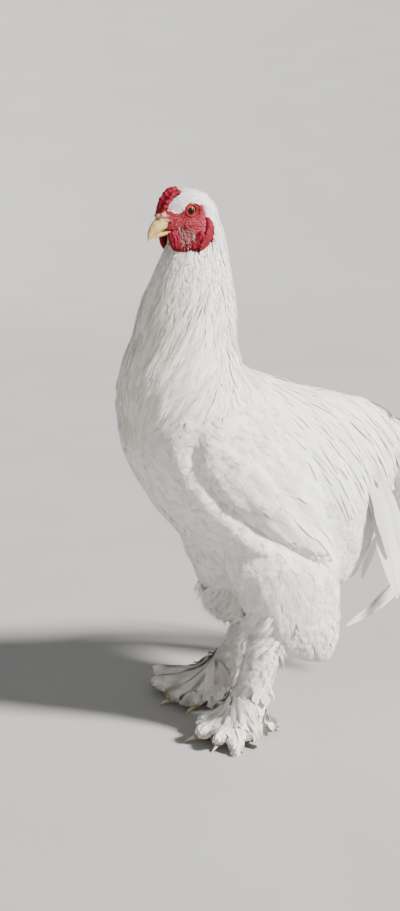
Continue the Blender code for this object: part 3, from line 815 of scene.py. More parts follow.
class Plumage:
    """Feathers of one kind, gathered into one mesh with the OFBake map and the coat's markings."""

    def __init__(self, name):
        self.name = name
        self.parts = []

    def add(self, spine, facing, shape, widths, low, high, arch=0.6, ragged=0.5, lift=0.0, wrap=None,
            roll=0.03, tint=None, gather_tip=0.0):
        """Lays a shape along each spine, from low to high over it at root and tip, in mm."""
        size = len(spine), len(shape.along)
        jitter = RNG.normal(size=size) * shape.tooth
        wisp = (RNG.random(size) < WISP_ODDS * ragged) * shape.wisp
        share = shape.along + jitter * shape.barb_gap * GAP_JITTER * ragged
        reach = np.clip(1.0 + REACH_JITTER * ragged * jitter, REACH_LEAST, REACH_MOST)
        reach = reach + wisp * RNG.random(size)
        margin = shape.fringe + (1.0 - shape.fringe) * reach
        across = shape.across * np.where(shape.tooth > 0.0, margin, 1.0)
        across = across * (1.0 - gather_tip * share.clip(0.0, 1.0))
        ahead = unit(along_spine(unit(np.gradient(spine, axis=1)), share))
        out = unit(along_spine(facing, share))
        shift = across * widths[:, None] / 2.0
        place = along_spine(spine, share) + unit(np.cross(out, ahead)) * shift[..., None]
        own = RNG.normal(size=(len(spine), 1))
        height = low + (high - low) * ease(0.0, RISEN_BY, share) + lift * np.clip(share, 0, 1.2) ** 2
        height = height + arch * (1.0 - across ** 2) + own * OWN_RISE
        height = height + across * widths[:, None] / MM * roll * RNG.normal(size=(len(spine), 1))
        if wrap is not None:
            place, out = wrapped(wrap, place, out)
        place = place + out * (height * MM)[..., None]
        place[..., 2] = np.maximum(place[..., 2], PLUMAGE_FLOOR)
        self.parts.append((place, shape, share, across, spine[:, 0], tint))

    def build(self, unwrap):
        """The finished mesh. unwrap gives a root's place on the OFBake map."""
        meshes, bake, vane, tones = [], [], [], []
        spots = np.concatenate([unwrap(part[4]) for part in self.parts])
        least = spots.min(0)
        span = np.maximum(spots.max(0) - least, 1e-6)
        for place, shape, share, across, roots, tint in self.parts:
            feathers, vertices = place.shape[:2]
            offset = (np.arange(feathers) * vertices)[:, None, None]
            meshes.append((place.reshape(-1, 3), (shape.triangles[None] + offset).reshape(-1, 3)))
            patch = np.stack((share - 0.5, across * 0.5), -1) * BAKE_PATCH
            bake.append((in_square((unwrap(roots) - least) / span)[:, None] + patch).reshape(-1, 2))
            vane.append(np.stack((share, across * 0.5 + 0.5), -1).reshape(-1, 2))
            tones.append(self.tone(place, roots, tint).reshape(-1, 4))
        points, faces = gather(meshes)
        obj = mesh_object(self.name, points, faces)
        maps = {"OFBake": np.concatenate(bake).clip(*BAKE_CLIP), "Vane": np.concatenate(vane)}
        for title, values in maps.items():
            obj.data.uv_layers.new(name=title).data.foreach_set("uv", values[faces.ravel()].ravel())
        attribute(obj.data, "Tone", "FLOAT_COLOR", np.concatenate(tones))
        return obj

    @staticmethod
    def tone(place, roots, tint):
        """Dust, cream and a number of each feather's own, for the coat's material."""
        feathers, vertices = place.shape[:2]
        own = np.repeat(RNG.random((feathers, 1)), vertices, 1)
        stain = dust(place)
        if tint is not None:
            stain = np.maximum(stain, tint[:, None])
        return np.stack((stain, np.repeat(cream(roots)[:, None], vertices, 1), own, np.ones_like(own)), -1)


# ---------------------------------------------------------------- where feathers grow and how they lie

ROOT_REACH, ROOT_NEAR, ROOT_CROWD = 9.5 * MM, 2.5 * MM, 7.0


def grown_roots(nodes, hull, spacing, keep=None):
    """Evenly spaced roots on the outside of the named nodes. spacing is metres, or a function of place."""
    gap = spacing if callable(spacing) else lambda p: np.full(len(p), spacing)
    found = []
    for node in nodes:
        surface = NODE_SURFACE[node]
        tightest = gap(surface.points).min()
        points = surface.scatter(int(surface.area() / tightest ** 2 * ROOT_CROWD))
        landed, normals = hull.near(points)
        far = np.linalg.norm(landed - points, axis=1)
        outside = far < ROOT_NEAR
        unsure = np.flatnonzero(~outside & (far < ROOT_REACH))
        if len(unsure):
            own = surface.near(points[unsure])[1]
            outside[unsure] = (own * normals[unsure]).sum(1) > 0.5
        if keep is not None:
            outside &= keep(landed, normals)
        found.append(landed[outside])
    points = RNG.permutation(np.concatenate(found))
    return points[thinned(points, gap(points))]


def rows_of(x, y, z):
    """Rows of x, y and z, where any of them may be one number for all."""
    return np.stack(np.broadcast_arrays(x, y, z), 1)


def backward(dip):
    """Directions to the back of the head, dipping by an angle in degrees."""
    dip = np.radians(dip)[:, None]
    return -np.cos(dip) * FORWARD - np.sin(dip) * UPWARD


def side_of(points):
    """-1 to the left of the middle line and 1 to its right."""
    return np.sign(points[:, 1] - MIDLINE)


def head_flow(points, normals):
    """Back from the bill over the skull, then down the nape and cheeks."""
    forward, _, up = to_head(points).T
    return backward(8.0 + 62.0 * ease(12.0, -34.0, forward) + 30.0 * ease(-4.0, -24.0, up))


def cheek_flow(points, normals):
    """Down and back over the cheek, steeper toward the bill."""
    return backward(52.0 + 1.6 * (to_head(points)[:, 0] - 6.0))


def neck_flow(points, normals):
    """Down the neck, sweeping forward over its sides and back over its nape as it spreads."""
    low = ease(0.62, 0.45, points[:, 2])
    nape = ease(0.0, 0.8, normals[:, 0])
    lead = (0.20 + 0.80 * low) * (1.0 - nape) - (0.02 + 0.85 * low) * nape
    return rows_of(-lead, 0.0, -1.0)


def body_flow(points, normals):
    """Down the breast and flanks, back along the top and underside."""
    top, under = normals[:, 2].clip(0.0), (-normals[:, 2]).clip(0.0)
    return rows_of(0.35 + 0.95 * top + 0.85 * under, 0.0, -(1.0 - 0.9 * top))


def saddle_flow(points, normals):
    """From the ridge of the back outward and down."""
    top = normals[:, 2].clip(0.0)
    return rows_of(0.55 + 0.5 * top, side_of(points) * 0.55 * top, -(1.0 - 0.5 * top))


def wing_flow(points, normals):
    """Down and back along the folded wing."""
    return rows_of(0.62 + 0.25 * noise(points, 0.05, 21), 0.0, -0.72)


def thigh_flow(points, normals):
    """Down the thigh with a slight sweep to the rear."""
    return rows_of(0.05 + 0.3 * noise(points, 0.04, 22), 0.0, -1.0)


def fringe_flow(points, normals):
    """Forward and down, off the front of the thigh."""
    return np.broadcast_to((-0.75, 0.0, -1.0), points.shape)


def shank_flow(points, normals):
    """Down the shank and away from its inner side."""
    return rows_of(-0.30, side_of(points) * 0.30, -1.0)


LINE_STEP, LINE_REACH, LINE_END_REACH = 9 * MM, 16 * MM, 40 * MM
LINE_CLOUD, LINE_END_POINTS, LINE_LEAST_POINTS, LINE_MOST_STEPS = 6000, 150, 40, 80


def centreline(node):
    """Points down the middle of a long node, from the end nearest the trunk."""
    cloud = NODE_SURFACE[node].scatter(LINE_CLOUD)
    nearest = np.argsort(np.linalg.norm(cloud - box_middle("trunk"), axis=1))
    here = cloud[nearest[:LINE_END_POINTS]].mean(0)
    heading = unit(cloud[np.linalg.norm(cloud - here, axis=1) < LINE_END_REACH].mean(0) - here)
    line = [here]
    for _ in range(LINE_MOST_STEPS):
        ahead = here + heading * LINE_STEP
        near = cloud[np.linalg.norm(cloud - ahead, axis=1) < LINE_REACH]
        near = near[((near - here) @ heading) > LINE_STEP * 0.25]
        if len(near) < LINE_LEAST_POINTS:
            break
        place = near.mean(0)
        heading = unit(0.4 * heading + 0.6 * unit(place - here))
        here = place
        line.append(here)
    return np.array(line)


def resampled(line, count):
    """A line cut into evenly spaced points."""
    gaps = np.linalg.norm(np.diff(line, axis=0), axis=1)
    run = np.concatenate(((0.0,), np.cumsum(gaps)))
    wanted = np.linspace(0.0, run[-1], count)
    return np.stack([np.interp(wanted, run, line[:, k]) for k in range(3)], 1)


def line_flow(line):
    """A flow that follows a line."""
    heading = unit(np.gradient(line, axis=0))

    def flow(points, normals):
        return heading[np.linalg.norm(points[:, None] - line[None], axis=2).argmin(1)]
    return flow


def turned(flow, degrees):
    """A flow with each feather turned about its root by its own small angle."""
    drawn = []

    def result(points, normals):
        if not drawn:
            drawn.append(np.radians(degrees) * RNG.normal(size=(len(points), 1)))
        flat = flatten(flow(points, normals), normals)
        return flat * np.cos(drawn[0]) + np.cross(normals, flat) * np.sin(drawn[0])
    return result


def round_unwrap(node):
    """The OFBake map of a part: how far round it a root is, and how far up, filling the square."""
    points = NODE_SURFACE[node].points
    low, high = points.min(0), points.max(0)
    middle = (low + high) / 2.0
    tall = int(np.argmax(high - low))
    first, second = [k for k in range(3) if k != tall]

    def unwrap(roots):
        turn = np.arctan2(roots[:, first] - middle[first], roots[:, second] - middle[second])
        up = share_of((low, high), roots, tall).clip(0.0, 1.0)
        return in_square(np.stack((turn / TURN + 0.5, up), 1))
    return unwrap


# ---------------------------------------------------------------- materials


class Nodes:
    """Shorthand for building one material's node tree."""

    def __init__(self, name):
        self.material = bpy.data.materials.new(name)
        self.material.use_nodes = True
        self.tree = self.material.node_tree
        self.place = self.node("TexCoord").outputs["Object"]

    def node(self, kind, **settings):
        """A new node with some of its settings."""
        made = self.tree.nodes.new("ShaderNode" + kind)
        for key, value in settings.items():
            setattr(made, key, value)
        return made

    def fill(self, node, values):
        """Links sockets or sets numbers on a node's inputs."""
        for key, value in values.items():
            if hasattr(value, "is_output"):
                self.tree.links.new(value, node.inputs[key])
            else:
                node.inputs[key].default_value = value
        return node.outputs

    def math(self, operation, *values):
        return self.fill(self.node("Math", operation=operation), dict(enumerate(values)))[0]

    def times(self, first, second):
        return self.math("MULTIPLY", first, second)

    def texture(self, kind, scale, source=None, settings=(), **inputs):
        node = self.node("Tex" + kind, **dict(settings))
        source = self.place if source is None else source
        return self.fill(node, {"Scale": scale, "Vector": source, **inputs})[0]

    def attribute(self, name, output="Fac"):
        return self.node("Attribute", attribute_name=name).outputs[output]

    def mask(self, value, low, high, most=1.0):
        """0 where value is at low, rising smoothly to most at high."""
        node = self.node("MapRange", interpolation_type="SMOOTHSTEP")
        mask = self.fill(node, {0: value, 1: low, 2: high, 3: 0.0, 4: 1.0})[0]
        return mask if most == 1.0 else self.times(mask, most)

    def mix(self, share, first, second):
        return self.fill(self.node("Mix", data_type="RGBA"), {0: share, 6: first, 7: second})[2]

    def bump(self, height, strength, distance, **previous):
        values = {"Strength": strength, "Distance": distance, "Height": height, **previous}
        return self.fill(self.node("Bump"), values)["Normal"]

    def finish(self, colour, normal, roughness, **constants):
        """Fills the shader's inputs and gives the material."""
        constants = {key.replace("_", " "): value for key, value in constants.items()}
        values = {"Base Color": colour, "Normal": normal, "Roughness": roughness, **constants}
        self.fill(self.tree.nodes["Principled BSDF"], values)
        return self.material


def rgb(red, green, blue):
    """A colour with full alpha."""
    return (red, green, blue, 1.0)


# the third colour is the grey that each feather's own random tone mixes in, and also the painted shade
# toward each feather's root
WHITE, CREAM, GREY_TONE_AND_PAINTED_SHADE = rgb(0.88, 0.875, 0.855), rgb(0.84, 0.78, 0.64), rgb(0.64, 0.635, 0.60)
MUD, MUD_DARK = rgb(0.34, 0.25, 0.17), rgb(0.19, 0.13, 0.09)
BARB_SHADE, QUILL_COLOUR, FUZZ_SHADE = rgb(0.42, 0.40, 0.36), rgb(0.62, 0.55, 0.42), rgb(0.78, 0.76, 0.72)
# the second red is painted shade for the folds of the bare flesh
RED, RED_FOLD_SHADE, RED_PALE = rgb(0.165, 0.002, 0.012), rgb(0.075, 0.001, 0.005), rgb(0.36, 0.055, 0.065)
FACE_RED, CERE_PALE, CERE_PINK = rgb(0.25, 0.020, 0.032), rgb(0.60, 0.40, 0.27), rgb(0.46, 0.17, 0.14)
BRISTLE, BRISTLE_PINK = rgb(0.74, 0.62, 0.57), rgb(0.62, 0.36, 0.33)
SCALE_PALE, SCALE_BROWN, SCALE_GAP = rgb(0.62, 0.47, 0.25), rgb(0.40, 0.29, 0.17), rgb(0.30, 0.20, 0.10)
IRIS, IRIS_DARK, IRIS_FLECK = rgb(0.50, 0.12, 0.025), rgb(0.28, 0.045, 0.012), rgb(0.62, 0.24, 0.06)
# the eye's rings: where each starts and is full, in mm from the axis, and its colour
EYE_RINGS = ((4.6, 5.5, rgb(0.10, 0.02, 0.012)), (4.5, 3.9, rgb(0.16, 0.03, 0.012)),
             (3.85, 3.55, rgb(0.004, 0.003, 0.003)))
FLOOR_DARK, FLOOR_PALE = rgb(0.36, 0.355, 0.345), rgb(0.38, 0.375, 0.365)


def plumage_colour(n):
    """White feathers with a cream cast and brown stain, from the Tone attribute."""
    stain, warm, own = n.fill(n.node("SeparateColor"), {0: n.attribute("Tone", "Color")})[:3]
    base = n.mix(n.times(warm, 0.75), WHITE, CREAM)
    base = n.mix(n.mask(own, 0.25, 1.0, 0.62), base, GREY_TONE_AND_PAINTED_SHADE)
    return n.mix(stain, base, n.mix(own, MUD, MUD_DARK))


def feather_material(name, barbs, angle, quill):
    """A feather vane: fine slanted barbs, a quill line, painted shade toward its root, and the coat's
    markings.
    """
    n = Nodes(name)
    vane = n.node("UVMap", uv_map="Vane").outputs[0]
    along, across = n.fill(n.node("SeparateXYZ"), {0: vane})[:2]
    off = n.math("ABSOLUTE", n.math("SUBTRACT", across, 0.5))
    wobble = n.texture("Noise", 420.0, Detail=2.0)
    run = n.math("SUBTRACT", n.times(along, barbs), n.times(off, angle))
    lines = n.math("SINE", n.times(n.math("ADD", run, n.times(wobble, 1.6)), TURN))
    stem = n.mask(off, 0.035, 0.012)
    # painted shade: each feather darkens toward its root, where the feathers lying over it would shade it
    colour = n.mix(n.mask(along, 0.75, 0.25, 0.35), plumage_colour(n), GREY_TONE_AND_PAINTED_SHADE)
    colour = n.mix(n.mask(lines, 0.2, -0.9, 0.12), colour, BARB_SHADE)
    colour = n.mix(n.times(stem, quill), colour, QUILL_COLOUR)
    normal = n.bump(stem, 0.5, 0.0003, Normal=n.bump(lines, 0.35, 0.0002))
    return n.finish(colour, normal, 0.62, Sheen_Weight=0.15, Specular_IOR_Level=0.3)


def bristle_material():
    """Pale hair-like feathers of the bare face, pink from the skin below."""
    n = Nodes("bristle")
    cloud = n.texture("Noise", 260.0, Detail=2.0)
    colour = n.mix(n.mask(cloud, 0.35, 0.65), BRISTLE, BRISTLE_PINK)
    return n.finish(colour, n.bump(cloud, 0.1, 0.0002), 0.6)


def flesh_colour(n, blotch, face):
    """Deep red comb and lobes, a paler face and a pale cere, with painted shade darkening every fold."""
    fleshy = n.mask(face, 0.82, 0.95)
    blotched = n.times(n.mask(blotch, 0.48, 0.78), n.math("SUBTRACT", 1.0, n.times(fleshy, 0.8)))
    colour = n.mix(blotched, n.mix(fleshy, FACE_RED, RED), RED_PALE)
    colour = n.mix(n.mask(n.texture("Noise", 420.0, Detail=3.0), 0.48, 0.66), colour, RED)
    # painted shade: the flesh darkened in its folds
    colour = n.mix(n.times(n.attribute("FoldShade"), 0.85), colour, RED_FOLD_SHADE)
    cere = n.mix(n.mask(blotch, 0.4, 0.7), CERE_PALE, CERE_PINK)
    return n.mix(n.times(n.attribute("Cere"), 0.85), colour, cere)


def skin_material():
    """The whole skin: down between the feathers, bare red flesh, and scales on the toes."""
    n = Nodes("down")
    face, scale = n.attribute("Face"), n.attribute("Scale")
    fuzz = n.texture("Noise", 900.0, Detail=5.0, Roughness=0.7)
    down = n.mix(n.mask(fuzz, 0.6, 0.3, 0.25), plumage_colour(n), FUZZ_SHADE)
    blotch = n.texture("Noise", 170.0, Detail=4.0, Roughness=0.6)
    plates = n.texture("Voronoi", 330.0, settings={"feature": "DISTANCE_TO_EDGE"})
    horny = n.mix(n.mask(plates, 0.0, 0.06), SCALE_GAP, SCALE_PALE)
    horny = n.mix(n.mask(blotch, 0.4, 0.7), horny, SCALE_BROWN)
    colour = n.mix(n.mask(face, 0.2, 0.6), n.mix(scale, down, horny), flesh_colour(n, blotch, face))
    pores = n.times(n.texture("Voronoi", 1500.0), 0.7)
    fine = n.bump(n.math("ADD", pores, n.texture("Noise", 1400.0, Detail=3.0)), 0.35, 0.0004)
    normal = n.bump(n.times(plates, scale), 0.6, 0.004, Normal=fine)
    rough = n.math("SUBTRACT", 0.85, n.times(face, 0.24))
    return n.finish(colour, normal, rough, Specular_IOR_Level=0.16)


def horn_material(name, pale, dark, streak):
    """Horn with growth streaks and darker clouds."""
    n = Nodes(name)
    stretched = n.fill(n.node("Mapping"), {0: n.place, "Scale": (0.35, 1.0, 1.0)})[0]
    grain = n.texture("Noise", streak, stretched, Detail=5.0, Roughness=0.6)
    cloud = n.texture("Noise", 130.0, Detail=3.0)
    colour = n.mix(n.mask(grain, 0.35, 0.75), pale, dark)
    colour = n.mix(n.mask(cloud, 0.45, 0.75, 0.5), colour, dark)
    return n.finish(colour, n.bump(grain, 0.25, 0.0005), 0.34, Coat_Weight=0.15, Coat_Roughness=0.25)


def eye_material():
    """Iris and pupil by distance from the eye's axis, under a wet clear front."""
    n = Nodes("eye_ball")
    spokes = n.texture("Noise", 1500.0, Detail=4.0, Roughness=0.7)
    colour = n.mix(n.mask(spokes, 0.35, 0.65), IRIS, IRIS_DARK)
    colour = n.mix(n.mask(n.texture("Voronoi", 1900.0), 0.5, 0.1, 0.3), colour, IRIS_FLECK)
    reach = n.attribute("Reach")
    for start, full, ring in EYE_RINGS:
        colour = n.mix(n.mask(reach, start, full), colour, ring)
    return n.finish(colour, n.bump(spokes, 0.12, 0.0002), 0.3, Coat_Weight=0.3, Coat_Roughness=0.03,
                    Coat_IOR=1.35, Specular_IOR_Level=0.1)


def floor_material():
    """Matt studio floor."""
    n = Nodes("studio_floor")
    colour = n.mix(n.mask(n.texture("Noise", 3.0, Detail=3.0), 0.3, 0.7), FLOOR_DARK, FLOOR_PALE)
    return n.finish(colour, n.bump(n.texture("Noise", 300.0), 0.05, 0.0005), 0.8)


# ---------------------------------------------------------------- skin, eyes, bill and claws as pieces


def fold_shade_mask(mesh):
    """0 on ridges to 1 in the folds of a mesh, for each vertex: where the bare flesh gets painted shade."""
    points, normals = points_of(mesh), normals_of(mesh)
    first, second = read(mesh.edges, "vertices", 2, np.int32).T
    total, count = np.zeros_like(points), np.zeros(len(points))
    for a, b in ((first, second), (second, first)):
        np.add.at(total, a, points[b] - points[a])
        np.add.at(count, a, 1.0)
    bend = (total * normals).sum(1) / np.maximum(count, 1.0) / FACE_VOXEL
    return ease(-0.02, 0.16, bend)


def cere_share(local):
    """1 on the pale skin between the comb's foot and the bill."""
    forward, _, up = local.T
    return ease(26.0, 31.0, forward) * ease(10.5, 8.0, up) * ease(-4.0, -1.0, up)


TOES_FULL, TOES_END = 30 * MM, 40 * MM
FLESH_FULL, FLESH_END, HEAD_MARGIN = 0.9 * MM, 1.6 * MM, 5 * MM
FACE_VALUE = 0.8


def build_skin():
    """One skin for the whole bird."""
    skin = merged(body_skin(), head_skin(), *[foot_skin(side) for side in SIDES])
    skin.name = skin.data.name = "skin"
    mesh = skin.data
    points = points_of(mesh)
    high = points[:, 2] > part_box("head")[0].z - HEAD_MARGIN
    face, cere = np.zeros((2, len(points)))
    flesh = ease(FLESH_END, FLESH_FULL, FLESH.far(points[high]))
    face[high] = np.maximum(FACE_VALUE * bare(points[high]), flesh)
    cere[high] = cere_share(to_head(points[high]))
    toes = ease(TOES_END, TOES_FULL, points[:, 2])
    # the fold mask stored here drives the painted shade in the folds of the bare flesh
    for name, values in (("Face", face), ("Cere", cere), ("Scale", toes), ("FoldShade", fold_shade_mask(mesh))):
        attribute(mesh, name, "FLOAT", values)
    tone = dust(points) * (1 - toes), cream(points), noise(points, 20 * MM, 9), np.ones(len(points))
    attribute(mesh, "Tone", "FLOAT_COLOR", np.stack(tone, 1))
    body = [node for node in BODY_NODES if node != "tail"]
    finished(skin, skin_material(), ("head", *both("foot"), *FACE_NODES, *body))


EYE_RADIUS, EYE_ROWS, EYE_AROUND, EYE_OPEN_DEG = 7.0, 40, 48, 130.0
EYE_AXIS_FORWARD, EYE_AXIS_UP = 0.16, 0.03
CORNEA_RISE, CORNEA_WIDE_DEG = 0.45, 34.0


def build_eye(side, material):
    """An eyeball with a slightly raised cornea, as a grid of rings about its own axis."""
    polar = np.linspace(0.0, math.radians(EYE_OPEN_DEG), EYE_ROWS)
    turn = np.linspace(0.0, TURN, EYE_AROUND, endpoint=False)[:, None]
    radius = EYE_RADIUS + CORNEA_RISE * hump(polar, 0.0, math.radians(CORNEA_WIDE_DEG))
    axis = unit(np.array((EYE_AXIS_FORWARD, -SIDES[side], EYE_AXIS_UP)))
    first = unit(np.cross(axis, UP))
    ring = np.cos(turn) * first + np.sin(turn) * np.cross(axis, first)
    local = (radius * np.cos(polar))[:, None, None] * axis + (radius * np.sin(polar))[:, None, None] * ring
    local = local.reshape(-1, 3) + to_head(box_middle(f"eye_{side}"))
    pairs = ring_pairs(EYE_ROWS, EYE_AROUND)
    faces = np.array([(a, b, b + EYE_AROUND, a + EYE_AROUND) for a, b in pairs])
    obj = mesh_object(f"eyeball_{side}", from_head(local), faces)
    attribute(obj.data, "Reach", "FLOAT", np.repeat(radius * np.sin(polar), EYE_AROUND))
    finished(obj, material, [f"eye_{side}"])


def build_horn(name, nodes, voxel, material, shaping=None):
    """Bill or claws: the CAD solids with their facets worn smooth."""
    obj = fused(name, [node_arrays(node) for node in nodes], voxel, 8)
    if shaping is not None:
        shaping(obj.data)
    finished(obj, material, nodes)


NOSTRIL_FORWARD, NOSTRIL_UP = 32.4, 3.0
NOSTRIL_LEAN = (0.9, 0.43)
BILL_GAP = 1.5


def cut_nostrils(mesh):
    """Presses the two slit nostrils into the base of the upper bill."""
    forward, side, up = to_head(points_of(mesh)).T
    forward, up = forward - NOSTRIL_FORWARD, up - NOSTRIL_UP
    along = forward * NOSTRIL_LEAN[0] + up * NOSTRIL_LEAN[1]
    over = -forward * NOSTRIL_LEAN[1] + up * NOSTRIL_LEAN[0]
    dent = hump(along, 0.0, 2.4) * hump(over, 0.0, 0.75)
    lip = hump(along, 0.0, 3.0) * hump(over, 1.5, 0.8)
    push(mesh, -(1.5 * dent - 0.35 * lip) * ease(1.5, 3.0, np.abs(side)) * MM)


def close_bill(mesh):
    """Brings the lower bill up against the upper one."""
    local = to_head(points_of(mesh))
    local[:, 2] += BILL_GAP * ease(20.0, 34.0, local[:, 0])
    move_points(mesh, from_head(local))


# ---------------------------------------------------------------- the coat, part by part


def in_metres(size, roots):
    """Metres for each root, from limits or numbers in mm or from a function of the roots."""
    if callable(size):
        size = size(roots)
    elif isinstance(size, tuple):
        size = spread(len(roots), *size)
    return size * MM


def clumped(spine, gap, pull):
    """Spines drawn together toward their tips, in locks that start about a gap apart."""
    roots = spine[:, 0]
    heads = thinned(roots, np.full(len(roots), gap))
    own = heads[np.array([np.linalg.norm(roots[heads] - root, axis=1).argmin() for root in roots])]
    share = np.linspace(0.0, 1.0, spine.shape[1])[None, :, None] ** 1.5
    strength = pull * (0.7 + 0.3 * RNG.random((len(roots), 1, 1)))
    return spine + (spine[own] - spine) * share * strength


def lay(piece, hull, roots, flow, shape, length, width, low, high, stations=7, stiff=0.6, hug=0.9,
        splay=6.0, wrap=True, clump=None, **more):
    """Walks a spine from each root and lays a feather along it. Lengths and widths in mm."""
    lengths, widths = in_metres(length, roots), in_metres(width, roots)
    spine, facing = walked(hull, roots, turned(flow, splay), lengths, stations, stiff, hug)
    if clump is not None:
        spine = clumped(spine, clump[0] * MM, clump[1])
    piece.add(spine, facing, shape, widths, low, high, wrap=hull if wrap else None, **more)


FLESH_CLEAR, CHIN_REACH = 0.8 * MM, 9.0 * MM
# fine strands that stand free of the surface, in place of vanes pressed onto it
FREE = {"arch": 0.0, "wrap": False}


def clear_of_flesh(points, normals=None):
    """True off the comb, wattles and earlobes."""
    return FLESH.far(points) > FLESH_CLEAR


def coat_head(hull):
    """Tiny feathers over the skull, nape and chin."""
    piece = Plumage("feathers_head")

    def feathered(points, normals):
        return clear_of_flesh(points) & ~bare(points) & (to_head(points)[:, 0] < 30.0)

    def chin(points, normals):
        forward, side, up = to_head(points).T
        between = (up < -20.0) & (up > -44.0) & (np.abs(side) < 9.0)
        below = (up < -38.0) & (up > -60.0) & (np.abs(side) < 17.0)
        return (forward > 24.0) & (between | (below & (FLESH.far(points) < CHIN_REACH)))
    roots = grown_roots(["head"], hull, 1.7 * MM, feathered)
    size = ease(20.0, -30.0, to_head(roots)[:, 0])
    lengths, widths = 4.4 + 7.5 * size, 2.3 + 1.7 * size
    lay(piece, hull, roots, head_flow, Vane(6, 0.86, 0.35, LANCE), lengths, widths,
        -0.9, 0.25, stations=5, splay=8.0, arch=0.1, ragged=0.8, wrap=False)
    lay(piece, hull, roots, head_flow, Tuft(4, 0.8, 0.09), lengths * 1.1, widths,
        -0.5, 0.6, stations=5, splay=9.0, ragged=0.8, **FREE)
    roots = grown_roots(["head", "neck"], hull, 2.2 * MM, chin)
    lay(piece, hull, roots, cheek_flow, Tuft(7, 0.8, 0.10), (7.0, 13.0), (4.0, 6.5), -0.4, 1.2,
        stations=5, splay=18.0, hug=0.4, **FREE)
    return piece


def coat_cheek(hull):
    """Sparse pale bristles on the bare cheeks, the lores and the chin."""
    piece = Plumage("bristles_face")

    def within(loop):
        def keep(points, normals):
            local = to_head(points)
            return inside_loop(local, loop) & (np.abs(local[:, 1]) > CHEEK_OUT)
        return keep

    def lores(points, normals):
        forward, side, up = to_head(points).T
        front = (forward > 6.0) & (up > -14.0) & (up < 9.0) & (forward < 28.0)
        return front & (np.hypot(forward, up) > 9.0) & (np.abs(side) > CHEEK_OUT)

    roots = grown_roots(["head"], hull, 2.5 * MM, within(CHEEK))
    lay(piece, hull, roots, cheek_flow, Tuft(2, 0.5, 0.075), (3.4, 6.4), (1.0, 1.7), -0.2, 0.6,
        stations=5, splay=16.0, ragged=0.8, hug=0.85, **FREE)
    roots = grown_roots(["head", "neck"], hull, 1.9 * MM, within(WHISKERS))
    lay(piece, hull, roots, cheek_flow, Tuft(4, 0.6, 0.06), (6.5, 11.5), (2.0, 3.4), -0.2, 1.4,
        stations=5, splay=14.0, ragged=0.8, hug=0.7, **FREE)
    roots = grown_roots(["head"], hull, 2.2 * MM, lores)
    lay(piece, hull, roots, cheek_flow, Tuft(2, 0.5, 0.08), (2.4, 4.2), (0.8, 1.4), -0.2, 0.5,
        stations=4, splay=16.0, hug=0.8, **FREE)
    return piece


CAPE_DROP, CAPE_SLOPE = 26 * MM, 0.40
CAPE_LOCK_RISE, CAPE_LOCK_WIDE = 60 * MM, 15 * MM
HACKLE_LENGTHS = (14.0, 80.0)


def coat_neck(hull, head_hull):
    """Hackles: short under the head, long and pointed where they spread over the shoulders."""
    upper, strands = Plumage("hackles_upper"), Plumage("hackle_strands")
    lower = {side: Plumage(f"hackles_{side}") for side in SIDES}
    box = low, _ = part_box("neck")

    def length_at(points):
        lock = CAPE_LOCK_RISE * (noise(points * (1.0, 1.0, 0.35), CAPE_LOCK_WIDE, 33) - 0.5)
        border = low.z - CAPE_DROP + CAPE_SLOPE * (points[:, 0] - low.x) + lock
        room = (points[:, 2] - border) / MM * 1.2
        grown = 19.0 + 50.0 * ease(0.90, 0.30, share_of(box, points, 2))
        return np.clip(np.minimum(grown, room), *HACKLE_LENGTHS) * spread(len(points), 0.80, 1.14)

    def gap_at(points):
        return (2.6 + 1.9 * ease(0.95, 0.25, share_of(box, points, 2))) * MM

    def throat(points, normals):
        forward, _, up = to_head(points).T
        return ((up < -22.0) | (forward < -28.0)) & ~bare(points) & clear_of_flesh(points)
    roots = np.concatenate((grown_roots(["neck"], hull, gap_at, clear_of_flesh),
                            grown_roots(["head"], head_hull, 2.6 * MM, throat)))
    top = share_of(box, roots, 2) > 0.50
    lay(upper, head_hull, roots[top], neck_flow, Vane(10, 0.92, 0.28, LANCE), length_at, (5.0, 7.5),
        -2.4, 0.2, splay=4.0, arch=0.2, ragged=0.7, clump=(9.0, 0.25), roll=0.02)
    for side, sign in SIDES.items():
        here = ~top & ((roots[:, 1] - MIDLINE) * sign >= 0.0)
        lay(lower[side], hull, roots[here], neck_flow, Vane(13, 0.92, 0.22, LANCE), length_at, (8.0, 11.5),
            -1.7, 0.8, stations=9, splay=4.0, arch=0.25, ragged=0.9, clump=(13.0, 0.3), roll=0.02)
        under = here & (RNG.random(len(roots)) < 0.5)
        lay(lower[side], hull, roots[under], neck_flow, Vane(6, 0.95, 0.22, ROUND), (26.0, 36.0),
            (14.0, 18.0), -2.2, -0.9, splay=4.0, arch=0.3, ragged=0.6)
    fine = roots[RNG.random(len(roots)) < 0.6]
    lay(strands, hull, fine, neck_flow, Tuft(7, 0.6, 0.065), lambda r: 1.15 * length_at(r), (5.0, 9.0),
        -1.2, 1.7, stations=9, splay=4.0, arch=0.0, gather_tip=0.3, clump=(11.0, 0.6))
    return [upper, strands, *lower.values()]


SADDLE_LOCK, SADDLE_LOW, SADDLE_RISE = 15 * MM, -0.4, 2.4


def saddle_lock(points):
    """0 between two hanging locks of the saddle to 1 on the middle of one."""
    across = points[:, 0] + 0.55 * points[:, 2] + 9 * MM * noise(points, 0.03, 31)
    return 0.5 + 0.5 * np.sin(across * TURN / SADDLE_LOCK)


